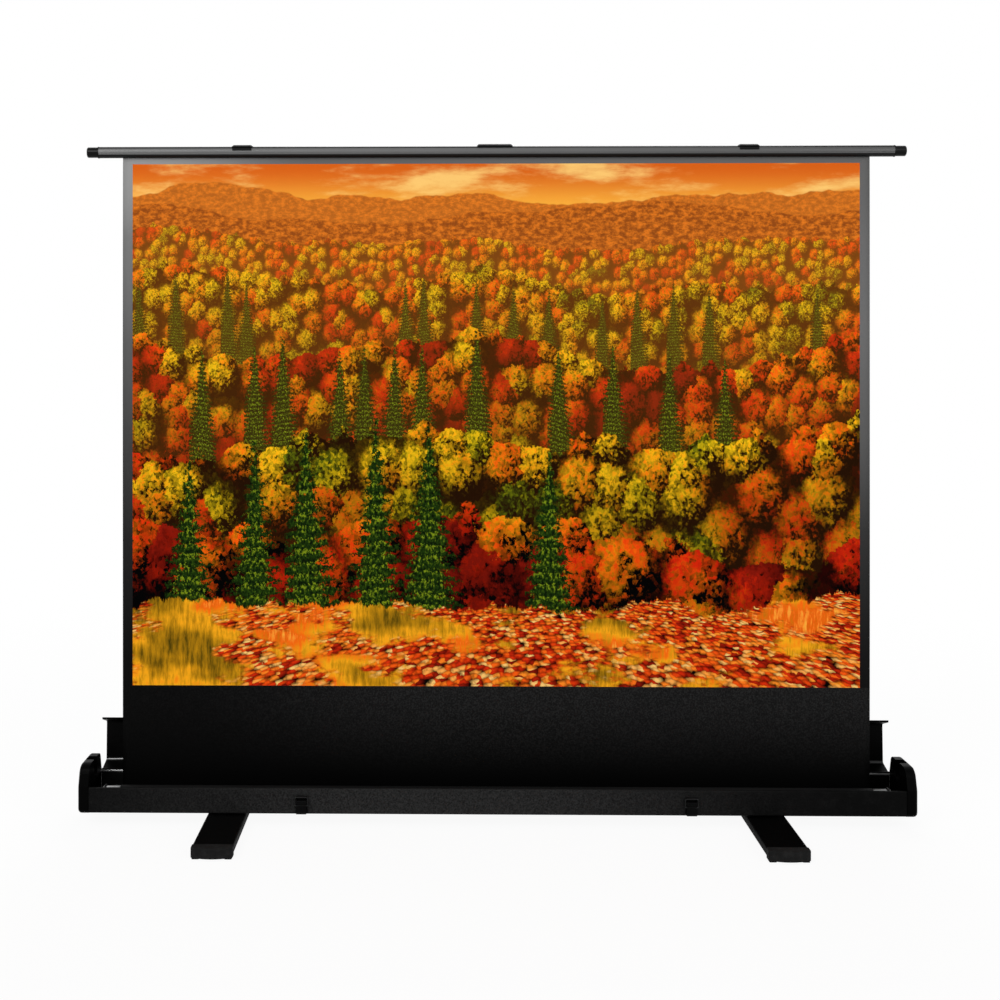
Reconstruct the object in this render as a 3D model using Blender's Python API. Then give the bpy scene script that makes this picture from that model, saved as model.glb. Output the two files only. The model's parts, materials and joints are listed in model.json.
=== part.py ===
"""Pull up projection screen, standing open: case with a hinged lid, swivel feet, spring roller, geared lift.

Metres, +Z up. The front is -Y and the right end is +X. The origin is on the floor, below the middle of the
case. Each moving group hangs from an empty on its own joint axis.
"""

import math

import bmesh
import bpy
from mathutils import Matrix, Vector

# Gaps and cuts
GAP = 0.0003
RUNNING_GAP = 0.0006
CUT_OVERRUN = 0.002

# Case
CASE_BAR_MARGIN = 0.0060
CASE_DEPTH = 0.118
CASE_FLOOR = 0.030
TROUGH_WALL_HEIGHT = 0.056
CASE_HEIGHT = 0.103
SHEET_METAL = 0.002
TROUGH_CORNER_RADIUS = 0.003
RIM_LIP = 0.004
CAP_THICKNESS = 0.0235
CAP_OVERLAP = 0.0018
CAP_FRONT_RADIUS = 0.026
CAP_REAR_RADIUS = 0.014
CAP_FOOT_RADIUS = 0.011
CAP_EDGE_ROUND = 0.008
CAP_DOME_STEPS = 5
CAP_SHELL = 0.004
CAP_POCKET_DEPTH = 0.013
CRADLE_CLEARANCE = 0.0012

# Hinge along the rear rim
BEAD_RADIUS = 0.0028
BEAD_RISE = 0.0026
KNUCKLE_WALL = 0.0017
KNUCKLE_ARC = (-58.0, 146.0)

# Lid
LID_OPEN_ANGLE = 92.5
LID_FLARE = 16.5
LID_WALL = 0.0018
LID_CORNER_RADIUS = 0.006
LID_TOP_GAP = 0.0015
LID_END_GAP = 0.001
LID_RIM_BEAD = 0.0036
LID_GROOVE_WIDTH = 0.010
LID_GROOVE_DEPTH = 0.0008

# Sheet
SHEET_PLANE = 0.004
SHEET_THICKNESS = 0.0006
VIEW_WIDTH = 1.630
SIDE_BORDER = 0.022
VIEW_HEIGHT = 1.173
TOP_BORDER = 0.014
BLACK_DROP = 0.211

# Spring roller
ROLLER_RADIUS = 0.0185
ROLLER_WALL = 0.0015
ROLLER_SHEET_MARGIN = 0.031
WOUND_RADIUS = 0.0200
FULL_WOUND_RADIUS = 0.0232
ROLLER_FEED_RADIUS = 0.0215
ROLLER_FLOOR_GAP = 0.0035
PLUG_FLANGE_RADIUS = 0.0215
PLUG_FLANGE = 0.004
PLUG_DEPTH = 0.018
SHAFT_RADIUS = 0.0045
SHAFT_LENGTH = 0.014
SPRING_WIRE_RADIUS = 0.0009
SPRING_COIL_RADIUS = 0.0125
SPRING_TURNS = 12
SPRING_PITCH = 0.0095
SPRING_ARBOR = 0.030
BRACKET_PLATE = 0.0025
BRACKET_HEIGHT = 0.044
BRACKET_WIDTH = 0.036
BRACKET_FLANGE = 0.016
BRACKET_CORNER = 0.012

# Lift
ARM_RAISED_DEGREES = 62.0
ARM_WIDTH = 0.022
ARM_THICKNESS = 0.008
ARM_POCKET_WALL = 0.0022
ARM_POCKET_DEPTH = 0.0055
ARM_LAYER_GAP = 0.0022
ARM_FRONT = 0.0155
GEAR_PITCH_RADIUS = 0.022
GEAR_TEETH = 22
GEAR_SECTOR_TEETH = 7
GEAR_PRESSURE_ANGLE = 20.0
GEAR_ROOT_SHARE = 1.25
GEAR_BACKLASH = 0.0005
PIN_RADIUS = 0.005
PIN_HEAD_RADIUS = 0.0085
PIN_HEAD = 0.0016
PIN_REAR_HEAD = 0.0012
EYE_RADIUS = 0.0135
LIFT_PIVOT_RISE = 0.030
LIFT_PLATE = 0.003
LIFT_PLATE_WIDTH = 0.110
LIFT_PLATE_TOP = 0.014
LIFT_FLANGE = 0.024

# Top bar
BAR_SHEET_MARGIN = 0.0533
BAR_RADIUS = 0.0125
BAR_WALL = 0.0016
BAR_FOLD_CLEARANCE = 0.0045
BAR_SLOT_WIDTH = 0.0034
BAR_GROOVE_WIDTH = 0.004
BAR_GROOVE_DEPTH = 0.0007
BAR_GROOVE_DROP = 0.0048
BAR_PLUG_LENGTH = 0.024
BAR_PLUG_RADIUS = 0.0118
BAR_COLLAR = 0.0022
BAR_SPIGOT = 0.012
SPLINE_RADIUS = 0.0022
BAR_COLLAR_RADIUS = 0.0133
GRIP_LENGTH = 0.080
GRIP_RISE = 0.0045
CLIP_LENGTH = 0.047
CLIP_RISE = 0.0034
CLIP_INSET = 0.3495
SADDLE_ARC = 96.0
SADDLE_SLOPE = 0.004
SADDLE_EDGE_SHARE = 0.25
TOP_PLATE_DROP = 0.0225

# Latches
LATCH_INSET = 0.495
LATCH_BOTTOM = 0.0315
LATCH_HEIGHT = 0.039
LATCH_PLATE = 0.0014
LATCH_PLATE_WIDTH = 0.0262
LATCH_EAR = 0.0012
LATCH_EAR_HEIGHT = 0.011
LATCH_PIVOT_OUT = 0.0045
LATCH_PIVOT_RISE = 0.0285
LATCH_PIN_RADIUS = 0.0013
LEVER_WIDTH = 0.0222
LEVER_WALL = 0.0015
LEVER_TAIL = 0.0265
LEVER_CURL = 0.003
BAIL_WIDTH = 0.031
BAIL_WIRE_RADIUS = 0.0013
BAIL_DROP = 0.0085
BAIL_RISE = 0.0185
BAIL_CORNER = 0.004
BAIL_SEAT = 0.0025
KEEPER_WIDTH = 0.018
KEEPER_PLATE = 0.0014
KEEPER_FOOT = 0.012
KEEPER_TONGUE = 0.0145
KEEPER_HOOK = 0.0045

# Carry handle on the lid
HANDLE_SPAN = 0.150
HANDLE_WIDTH = 0.020
HANDLE_THICKNESS = 0.007
HANDLE_RISE = 0.030
HANDLE_MOUNT_LENGTH = 0.032
HANDLE_MOUNT_WIDTH = 0.030
HANDLE_MOUNT_HEIGHT = 0.011
HANDLE_PIN_RADIUS = 0.003

# Feet
FOOT_INSET = 0.3275
FOOT_LENGTH = 0.510
FOOT_WIDTH = 0.086
FOOT_SHOE_LENGTH = 0.028
FOOT_BOW = 0.010
FOOT_CORNER_RADIUS = 0.005
FOOT_BAR_HEIGHT = 0.020
FOOT_BAR_WALL = 0.0022
FOOT_PAD = 0.0035
FOOT_PAD_LENGTH = 0.017
FOOT_PAD_WIDTH = 0.015
FOOT_SHOE_PROUD = 0.0007
FOOT_SPIGOT = 0.015
FOOT_BOLT_RADIUS = 0.006
FOOT_BOLT_HEAD_RADIUS = 0.011
FOOT_BOLT_HEAD = 0.0025
FOOT_MOUNT_RADIUS = 0.032

# Colours as they read in even light
BLACK_PAINT = (0.012, 0.012, 0.013)
BLACK_PLASTIC = (0.009, 0.009, 0.010)
BAR_GREY = (0.060, 0.060, 0.064)
STEEL = (0.42, 0.42, 0.44)
ZINC = (0.55, 0.56, 0.58)
CLOTH_BLACK = (0.020, 0.020, 0.021)

# Places that follow from the sizes above
SHEET_WIDTH = VIEW_WIDTH + 2 * SIDE_BORDER
ROLLER_LENGTH = SHEET_WIDTH + 2 * ROLLER_SHEET_MARGIN
BAR_LENGTH = SHEET_WIDTH + 2 * BAR_SHEET_MARGIN
BAR_SPAN = BAR_LENGTH + 2 * (BAR_PLUG_LENGTH + BAR_COLLAR)
CASE_LENGTH = BAR_SPAN + 2 * CASE_BAR_MARGIN
FOOT_OFFSET = CASE_LENGTH / 2 - FOOT_INSET
LATCH_OFFSET = CASE_LENGTH / 2 - LATCH_INSET
CLIP_OFFSET = BAR_SPAN / 2 - CLIP_INSET
INNER_HALF = CASE_LENGTH / 2 - CAP_THICKNESS
TROUGH_LENGTH = 2 * (INNER_HALF - GAP)
TROUGH_FLOOR = CASE_FLOOR + SHEET_METAL
RIM_HEIGHT = CASE_FLOOR + TROUGH_WALL_HEIGHT
HINGE_Y = CASE_DEPTH / 2 - SHEET_METAL / 2
HINGE_Z = RIM_HEIGHT + BEAD_RISE
KNUCKLE_INNER = BEAD_RADIUS + GAP
KNUCKLE_OUTER = KNUCKLE_INNER + KNUCKLE_WALL
ROLLER_Y = SHEET_PLANE - WOUND_RADIUS - SHEET_THICKNESS / 2
ROLLER_Z = TROUGH_FLOOR + ROLLER_FLOOR_GAP + FULL_WOUND_RADIUS
LIFT_Z = TROUGH_FLOOR + LIFT_PIVOT_RISE
LOWER_ARM_Y = ARM_FRONT
UPPER_ARM_Y = LOWER_ARM_Y + ARM_THICKNESS + ARM_LAYER_GAP
BAR_FOLDED_Z = RIM_HEIGHT + BAR_FOLD_CLEARANCE + BAR_RADIUS
BAR_RAISED_Z = RIM_HEIGHT + BLACK_DROP + VIEW_HEIGHT + TOP_BORDER + BAR_RADIUS
FOLDED_PIVOT_Z = BAR_FOLDED_Z - TOP_PLATE_DROP
RAISED_PIVOT_Z = BAR_RAISED_Z - TOP_PLATE_DROP
RAISED_ANGLE = math.radians(ARM_RAISED_DEGREES)
ARM_LENGTH = (RAISED_PIVOT_Z - LIFT_Z) / (2 * math.sin(RAISED_ANGLE))
FOLDED_ANGLE = math.asin((FOLDED_PIVOT_Z - LIFT_Z) / (2 * ARM_LENGTH))

pieces = {}


def clear_scene():
    for obj in list(bpy.data.objects):
        bpy.data.objects.remove(obj)


def make_material(name, colour, roughness, metallic):
    material = bpy.data.materials.new(name)
    material.use_nodes = True
    shader = material.node_tree.nodes["Principled BSDF"]
    shader.inputs["Base Color"].default_value = (*colour, 1)
    shader.inputs["Roughness"].default_value = roughness
    shader.inputs["Metallic"].default_value = metallic
    return material


def make_axis(name, location, parent=None):
    """An empty on a joint's axis; the group that turns there is parented to it."""
    axis = bpy.data.objects.new(name, None)
    bpy.context.scene.collection.objects.link(axis)
    axis.location = Vector(location)
    if parent:
        axis.parent = parent
        axis.location -= parent.matrix_world.translation
    bpy.context.view_layer.update()
    return axis


def face_out(bm):
    """Turns every face of a closed shape outwards."""
    bmesh.ops.recalc_face_normals(bm, faces=bm.faces)
    if bm.calc_volume(signed=True) < 0:
        bmesh.ops.reverse_faces(bm, faces=bm.faces)


def place(name, bm, material, axis):
    """Turns a bmesh in world coordinates into the named piece, with its origin on the axis it hangs from."""
    face_out(bm)
    bm.transform(Matrix.Translation(-axis.matrix_world.translation))
    mesh = bpy.data.meshes.new(name)
    bm.to_mesh(mesh)
    bm.free()
    mesh.materials.append(material)
    mesh.shade_smooth()
    mesh.set_sharp_from_angle(angle=math.radians(30))
    piece = bpy.data.objects.new(name, mesh)
    bpy.context.scene.collection.objects.link(piece)
    piece.parent = axis
    pieces[name] = piece
    return piece


def combine(piece, bm, operation):
    """Cuts a hidden tool shape from a piece, or joins it on."""
    axis = piece.parent
    face_out(bm)
    bm.transform(Matrix.Translation(-axis.matrix_world.translation))
    mesh = bpy.data.meshes.new(piece.name + "_tool")
    bm.to_mesh(mesh)
    bm.free()
    tool = bpy.data.objects.new(piece.name + "_tool", mesh)
    bpy.context.scene.collection.objects.link(tool)
    tool.parent = axis
    tool.hide_render = True
    tool.display_type = "WIRE"
    boolean = piece.modifiers.new(operation.lower(), "BOOLEAN")
    boolean.operation = operation
    boolean.solver = "EXACT"
    boolean.object = tool


def cut(piece, bm):
    combine(piece, bm, "DIFFERENCE")


def join(piece, bm):
    combine(piece, bm, "UNION")


def arc(centre, radius, start, end, steps):
    """Points on a circle from one angle to another, in degrees."""
    points = []
    for step in range(steps + 1):
        angle = math.radians(start + (end - start) * step / steps)
        points.append((centre[0] + radius * math.cos(angle), centre[1] + radius * math.sin(angle)))
    return points


def rounded(corners, steps=4, closed=True):
    """An outline whose corners (u, v, radius) are rounded by arcs."""
    points = []
    count = len(corners)
    for index, (u, v, radius) in enumerate(corners):
        at_end = not closed and index in (0, count - 1)
        if radius == 0 or at_end:
            points.append((u, v))
            continue
        here = Vector((u, v))
        back = (Vector(corners[index - 1][:2]) - here).normalized()
        ahead = (Vector(corners[(index + 1) % count][:2]) - here).normalized()
        half = back.angle(ahead) / 2
        centre = here + (back + ahead).normalized() * (radius / math.sin(half))
        first = here + back * (radius / math.tan(half)) - centre
        last = here + ahead * (radius / math.tan(half)) - centre
        sweep = first.angle_signed(last)
        for step in range(steps + 1):
            turned = first.copy()
            turned.rotate(Matrix.Rotation(-sweep * step / steps, 2))
            points.append(tuple(centre + turned))
    return points


def band(path, thickness):
    """The closed outline of a bent sheet whose middle line is the open path."""
    left, right = [], []
    for index, point in enumerate(path):
        here = Vector(point)
        before = (here - Vector(path[index - 1])).normalized() if index else None
        after = (Vector(path[index + 1]) - here).normalized() if index + 1 < len(path) else None
        along = (before or after) + (after or before)
        along.normalize()
        side = Vector((-along.y, along.x))
        flat = before or after
        reach = thickness / 2 / max(abs(flat.dot(along)), math.cos(math.radians(60)))
        left.append(tuple(here + side * reach))
        right.append(tuple(here - side * reach))
    return left + right[::-1]


def extruded(outline, place_point, along):
    """A prism: the outline's points placed in space and pushed along a vector."""
    bm = bmesh.new()
    face = bm.faces.new([bm.verts.new(place_point(u, v)) for u, v in outline])
    pushed = bmesh.ops.extrude_face_region(bm, geom=[face])
    moved = [item for item in pushed["geom"] if isinstance(item, bmesh.types.BMVert)]
    bmesh.ops.translate(bm, vec=Vector(along), verts=moved)
    return bm


def along_x(outline, start, end):
    """An outline in Y and Z, extruded along X."""
    return extruded(outline, lambda u, v: (start, u, v), (end - start, 0, 0))


def along_y(outline, start, end):
    """An outline in X and Z, extruded along Y."""
    return extruded(outline, lambda u, v: (u, start, v), (0, end - start, 0))


def along_z(outline, start, end):
    """An outline in X and Y, extruded along Z."""
    return extruded(outline, lambda u, v: (u, v, start), (0, 0, end - start))


def turned(profile, centre, direction, segments, ring=False):
    """A revolve: profile points (radius, distance) turned about a line through the centre."""
    bm = bmesh.new()
    verts = [bm.verts.new((radius, 0, distance)) for radius, distance in profile]
    edges = [bm.edges.new(pair) for pair in zip(verts, verts[1:])]
    if ring:
        edges.append(bm.edges.new((verts[-1], verts[0])))
    bmesh.ops.spin(
        bm, geom=verts + edges, cent=(0, 0, 0), axis=(0, 0, 1), angle=math.tau, steps=segments, use_merge=True
    )
    bmesh.ops.remove_doubles(bm, verts=bm.verts, dist=GAP / 10)
    bm.transform(Vector((0, 0, 1)).rotation_difference(Vector(direction)).to_matrix().to_4x4())
    bm.transform(Matrix.Translation(Vector(centre)))
    return bm


def rod(radius, centre, direction, length, segments=20):
    """A plain round bar that starts at the centre and runs along the direction."""
    return turned([(0, 0), (radius, 0), (radius, length), (0, length)], centre, direction, segments)


def lofted(rings):
    """A solid skinned through rings that have as many points each, with both ends filled."""
    bm = bmesh.new()
    loops = [[bm.verts.new(point) for point in ring] for ring in rings]
    for first, second in zip(loops, loops[1:]):
        for index in range(len(first)):
            bm.faces.new((first[index - 1], first[index], second[index], second[index - 1]))
    bm.faces.new(loops[0])
    bm.faces.new(loops[-1])
    return bm


def box_outline(u0, u1, v0, v1, radius=0, steps=4):
    return rounded([(u0, v0, radius), (u1, v0, radius), (u1, v1, radius), (u0, v1, radius)], steps)


def bevel_edges(bm, chosen, width, segments=2):
    edges = [edge for edge in bm.edges if chosen(edge)]
    bmesh.ops.bevel(bm, geom=edges, offset=width, segments=segments, profile=0.5, affect="EDGES", material=-1)


def hoop(path, radius, sides, name, material, axis):
    """A bent wire along a path, as a curve with round section and filled ends."""
    curve = bpy.data.curves.new(name, "CURVE")
    curve.dimensions = "3D"
    curve.bevel_depth = radius
    curve.bevel_resolution = sides
    curve.use_fill_caps = True
    spline = curve.splines.new("POLY")
    spline.points.add(len(path) - 1)
    origin = axis.matrix_world.translation
    for point, place_at in zip(spline.points, path):
        point.co = (*(Vector(place_at) - origin), 1)
    curve.materials.append(material)
    piece = bpy.data.objects.new(name, curve)
    bpy.context.scene.collection.objects.link(piece)
    piece.parent = axis
    pieces[name] = piece
    return piece


def rivet(name, x, z, front, rear, material, axis, front_head=PIN_HEAD, rear_head=PIN_HEAD, head_radius=PIN_HEAD_RADIUS):
    """A headed pin along Y whose shank fills the span from front to rear; the heads lie outside it."""
    length = rear - front
    profile = [
        (0, -front_head),
        (head_radius - front_head / 2, -front_head),
        (head_radius, -front_head / 2),
        (head_radius, 0),
        (PIN_RADIUS, 0),
        (PIN_RADIUS, length),
        (head_radius, length),
        (head_radius, length + rear_head / 2),
        (head_radius - rear_head / 2, length + rear_head),
        (0, length + rear_head),
    ]
    return place(name, turned(profile, (x, front, z), (0, 1, 0), 14), material, axis)


def make_trough(axis, paint):
    """The long extruded trough, with a turned-in front lip and the hinge bead on its rear rim."""
    middle = CASE_DEPTH / 2 - SHEET_METAL / 2
    floor = CASE_FLOOR + SHEET_METAL / 2
    path = rounded(
        [
            (-middle + RIM_LIP, RIM_HEIGHT - SHEET_METAL / 2, 0),
            (-middle, RIM_HEIGHT - SHEET_METAL / 2, SHEET_METAL),
            (-middle, floor, TROUGH_CORNER_RADIUS),
            (middle, floor, TROUGH_CORNER_RADIUS),
            (HINGE_Y, HINGE_Z, 0),
        ],
        closed=False,
    )
    trough = place(
        "base_channel", along_x(band(path, SHEET_METAL), -TROUGH_LENGTH / 2, TROUGH_LENGTH / 2), paint, axis
    )
    join(trough, rod(BEAD_RADIUS, (-TROUGH_LENGTH / 2, HINGE_Y, HINGE_Z), (1, 0, 0), TROUGH_LENGTH, 16))
    for side in (-1, 1):
        hole = FOOT_BOLT_RADIUS + GAP
        reach = SHEET_METAL + 2 * CUT_OVERRUN
        cut(trough, rod(hole, (side * FOOT_OFFSET, 0, CASE_FLOOR - CUT_OVERRUN), (0, 0, 1), reach))


def cap_outline(grow=0.0):
    """The end cap's side view: the trough below, the lid's sloping walls and flat top above."""
    depth = CASE_DEPTH / 2 + CAP_OVERLAP + grow
    top = CASE_FLOOR + CASE_HEIGHT + grow
    inset = (CASE_HEIGHT - TROUGH_WALL_HEIGHT) * math.tan(math.radians(LID_FLARE))
    floor = CASE_FLOOR - CAP_OVERLAP - grow
    return rounded(
        [
            (-depth, floor, CAP_FOOT_RADIUS + grow),
            (depth, floor, CAP_FOOT_RADIUS + grow),
            (depth, RIM_HEIGHT, CAP_REAR_RADIUS),
            (depth - inset, top, CAP_REAR_RADIUS + grow),
            (inset - depth, top, CAP_FRONT_RADIUS + grow),
            (-depth, RIM_HEIGHT, CAP_FRONT_RADIUS),
        ],
        steps=6,
    )


def make_end_cap(side, axis, plastic):
    """A moulded cap: a domed outer edge, a pocket inside, and a cradle, open above, for the top bar's plug."""
    inner = side * INNER_HALF
    outer = side * CASE_LENGTH / 2
    rings = [[(inner, u, v) for u, v in cap_outline()]]
    for step in range(CAP_DOME_STEPS + 1):
        angle = math.radians(90) * step / CAP_DOME_STEPS
        x = outer - side * CAP_EDGE_ROUND * (1 - math.sin(angle))
        rings.append([(x, u, v) for u, v in cap_outline(CAP_EDGE_ROUND * (math.cos(angle) - 1))])
    bm = lofted(rings)
    cap = place("end_cap_right" if side > 0 else "end_cap_left", bm, plastic, axis)
    width = BAR_PLUG_RADIUS + CRADLE_CLEARANCE
    mouth = CASE_FLOOR + CASE_HEIGHT + 2 * CUT_OVERRUN
    cradle = [(SHEET_PLANE - width, mouth)]
    cradle += arc((SHEET_PLANE, BAR_FOLDED_Z), width, 180, 360, 12)
    cradle += [(SHEET_PLANE + width, mouth)]
    cut(cap, along_x(cradle, inner - side * CUT_OVERRUN, outer - side * CAP_SHELL))
    half = CASE_DEPTH / 2 - SHEET_METAL - CAP_SHELL
    low = CASE_FLOOR + SHEET_METAL + CAP_SHELL
    high = BAR_FOLDED_Z - width - CAP_SHELL
    pocket = box_outline(-half, half, low, high, CAP_SHELL)
    cut(cap, along_x(pocket, inner - side * CUT_OVERRUN, inner + side * CAP_POCKET_DEPTH))


def lid_point(y, z):
    """Turns a point of the closed lid about the hinge to where it stands open."""
    turn = math.radians(LID_OPEN_ANGLE)
    out, up = y - HINGE_Y, z - HINGE_Z
    return (HINGE_Y + out * math.cos(turn) + up * math.sin(turn), HINGE_Z - out * math.sin(turn) + up * math.cos(turn))


def lid_solid(outline, start, end):
    """An outline of the closed lid in Y and Z, extruded along X and swung open."""
    return extruded(outline, lambda u, v: (start, *lid_point(u, v)), (end - start, 0, 0))


LID_TOP = CASE_FLOOR + CASE_HEIGHT - LID_TOP_GAP
LID_RIM = RIM_HEIGHT + LID_WALL
LID_INSET = (LID_TOP - RIM_HEIGHT) * math.tan(math.radians(LID_FLARE))
LID_HALF_TOP = CASE_DEPTH / 2 - LID_INSET
HANDLE_PIVOT_HEIGHT = LID_TOP + GAP + HANDLE_PIN_RADIUS / 2 + RUNNING_GAP + HANDLE_THICKNESS / 2


def make_lid(axis, paint):
    """The extruded lid: flat top, two flared walls, a front drip lip and the knuckle that turns on the bead."""
    middle = CASE_DEPTH / 2 - LID_WALL / 2
    crown = LID_TOP - LID_WALL / 2
    seat = (KNUCKLE_INNER + KNUCKLE_OUTER) / 2
    lean = math.radians(90 + LID_FLARE)
    path = rounded(
        [
            (-middle - LID_RIM_BEAD, LID_RIM, 0),
            (-middle, LID_RIM, LID_WALL),
            (LID_WALL / 2 - LID_HALF_TOP, crown, LID_CORNER_RADIUS),
            (LID_HALF_TOP - LID_WALL / 2, crown, LID_CORNER_RADIUS),
            (HINGE_Y + seat * math.cos(lean), HINGE_Z + seat * math.sin(lean), 0),
        ],
        closed=False,
    )
    half = INNER_HALF - LID_END_GAP
    lid = place("lid_shell", lid_solid(band(path, LID_WALL), -half, half), paint, axis)
    opened = [angle + LID_OPEN_ANGLE for angle in KNUCKLE_ARC]
    knuckle = band(arc((HINGE_Y, HINGE_Z), seat, *opened, 14), KNUCKLE_WALL)
    join(lid, lid_solid(knuckle, -half, half))
    for groove in (-1, 1):
        place_at = groove * (LID_HALF_TOP - LID_CORNER_RADIUS - LID_GROOVE_WIDTH)
        outline = box_outline(
            place_at - LID_GROOVE_WIDTH / 2,
            place_at + LID_GROOVE_WIDTH / 2,
            LID_TOP - LID_GROOVE_DEPTH,
            LID_TOP + CUT_OVERRUN,
        )
        cut(lid, lid_solid(outline, -half - CUT_OVERRUN, half + CUT_OVERRUN))


def make_keeper(side, axis, steel):
    """A hooked tongue on the lid's front wall, which reaches down over the trough for the latch's bail."""
    slope = LID_INSET / (LID_TOP - LID_WALL / 2 - LID_RIM)
    seat = KEEPER_PLATE / 2 + GAP
    foot = LID_RIM + LID_WALL / 2 + seat
    wall = (foot - LID_RIM) * slope - (CASE_DEPTH - LID_WALL) / 2 - (LID_WALL / 2 + seat) * math.hypot(1, slope)
    face = -CASE_DEPTH / 2 - LID_RIM_BEAD - seat
    tip = LID_RIM - KEEPER_TONGUE
    path = rounded(
        [
            (wall + KEEPER_FOOT * slope, foot + KEEPER_FOOT, 0),
            (wall, foot, KEEPER_PLATE),
            (face, foot, KEEPER_PLATE),
            (face, tip, KEEPER_PLATE),
            (face - KEEPER_HOOK, tip + KEEPER_HOOK / 2, 0),
        ],
        closed=False,
    )
    middle = side * LATCH_OFFSET
    name = "lid_keeper_right" if side > 0 else "lid_keeper_left"
    bm = lid_solid(band(path, KEEPER_PLATE), middle - KEEPER_WIDTH / 2, middle + KEEPER_WIDTH / 2)
    place(name, bm, steel, axis)


def make_handle(axis, handle_axis, plastic, steel):
    """A carry handle on the lid's outer face: two low mounts and a loop that lies flat and swings up."""
    level = LID_TOP + GAP
    for side in (-1, 1):
        middle = side * HANDLE_SPAN / 2
        outline = rounded(
            [
                (-HANDLE_MOUNT_WIDTH / 2, level, 0),
                (HANDLE_MOUNT_WIDTH / 2, level, 0),
                (HANDLE_MOUNT_WIDTH / 3, level + HANDLE_MOUNT_HEIGHT, HANDLE_PIN_RADIUS),
                (-HANDLE_MOUNT_WIDTH / 3, level + HANDLE_MOUNT_HEIGHT, HANDLE_PIN_RADIUS),
            ]
        )
        start = middle - HANDLE_MOUNT_LENGTH / 2
        name = "handle_mount_right" if side > 0 else "handle_mount_left"
        mount = place(name, lid_solid(outline, start, start + HANDLE_MOUNT_LENGTH), plastic, axis)
        slot = box_outline(
            -HANDLE_MOUNT_WIDTH, HANDLE_MOUNT_WIDTH, level + HANDLE_PIN_RADIUS / 2, level + 2 * HANDLE_MOUNT_HEIGHT
        )
        gap = HANDLE_THICKNESS / 2 + RUNNING_GAP
        cut(mount, lid_solid(slot, middle - gap, middle + gap))
        y, z = lid_point(0, HANDLE_PIVOT_HEIGHT)
        bore = HANDLE_PIN_RADIUS + RUNNING_GAP
        cut(mount, rod(bore, (start - CUT_OVERRUN, y, z), (1, 0, 0), HANDLE_MOUNT_LENGTH + 2 * CUT_OVERRUN))
    reach = HANDLE_SPAN / 2 - HANDLE_THICKNESS / 2
    loop = HANDLE_THICKNESS
    outer = rounded(
        [
            (-reach - loop, 0, 0),
            (-reach - loop, HANDLE_RISE, HANDLE_WIDTH / 2),
            (reach + loop, HANDLE_RISE, HANDLE_WIDTH / 2),
            (reach + loop, 0, 0),
            (reach, 0, 0),
            (reach, HANDLE_RISE - loop, HANDLE_WIDTH / 2 - loop / 2),
            (-reach, HANDLE_RISE - loop, HANDLE_WIDTH / 2 - loop / 2),
            (-reach, 0, 0),
        ],
        steps=5,
    )
    low = HANDLE_PIVOT_HEIGHT - HANDLE_THICKNESS / 2
    high = HANDLE_PIVOT_HEIGHT + HANDLE_THICKNESS / 2
    push = Vector((0, *lid_point(0, high))) - Vector((0, *lid_point(0, low)))
    bm = extruded(outer, lambda u, v: (u, *lid_point(v, low)), push)
    bevel_edges(bm, lambda edge: abs(edge.calc_length() - HANDLE_THICKNESS) > GAP, HANDLE_THICKNESS / 5, 2)
    handle = place("carry_handle", bm, plastic, handle_axis)
    y, z = lid_point(0, HANDLE_PIVOT_HEIGHT)
    for side in (-1, 1):
        eye = side * HANDLE_SPAN / 2 - HANDLE_THICKNESS / 2
        join(handle, rod(HANDLE_THICKNESS / 2, (eye, y, z), (1, 0, 0), HANDLE_THICKNESS, 16))
        start = side * HANDLE_SPAN / 2 - HANDLE_MOUNT_LENGTH / 2 + HANDLE_PIN_RADIUS
        join(handle, rod(HANDLE_PIN_RADIUS, (start, y, z), (1, 0, 0), HANDLE_MOUNT_LENGTH - 2 * HANDLE_PIN_RADIUS, 16))


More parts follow.
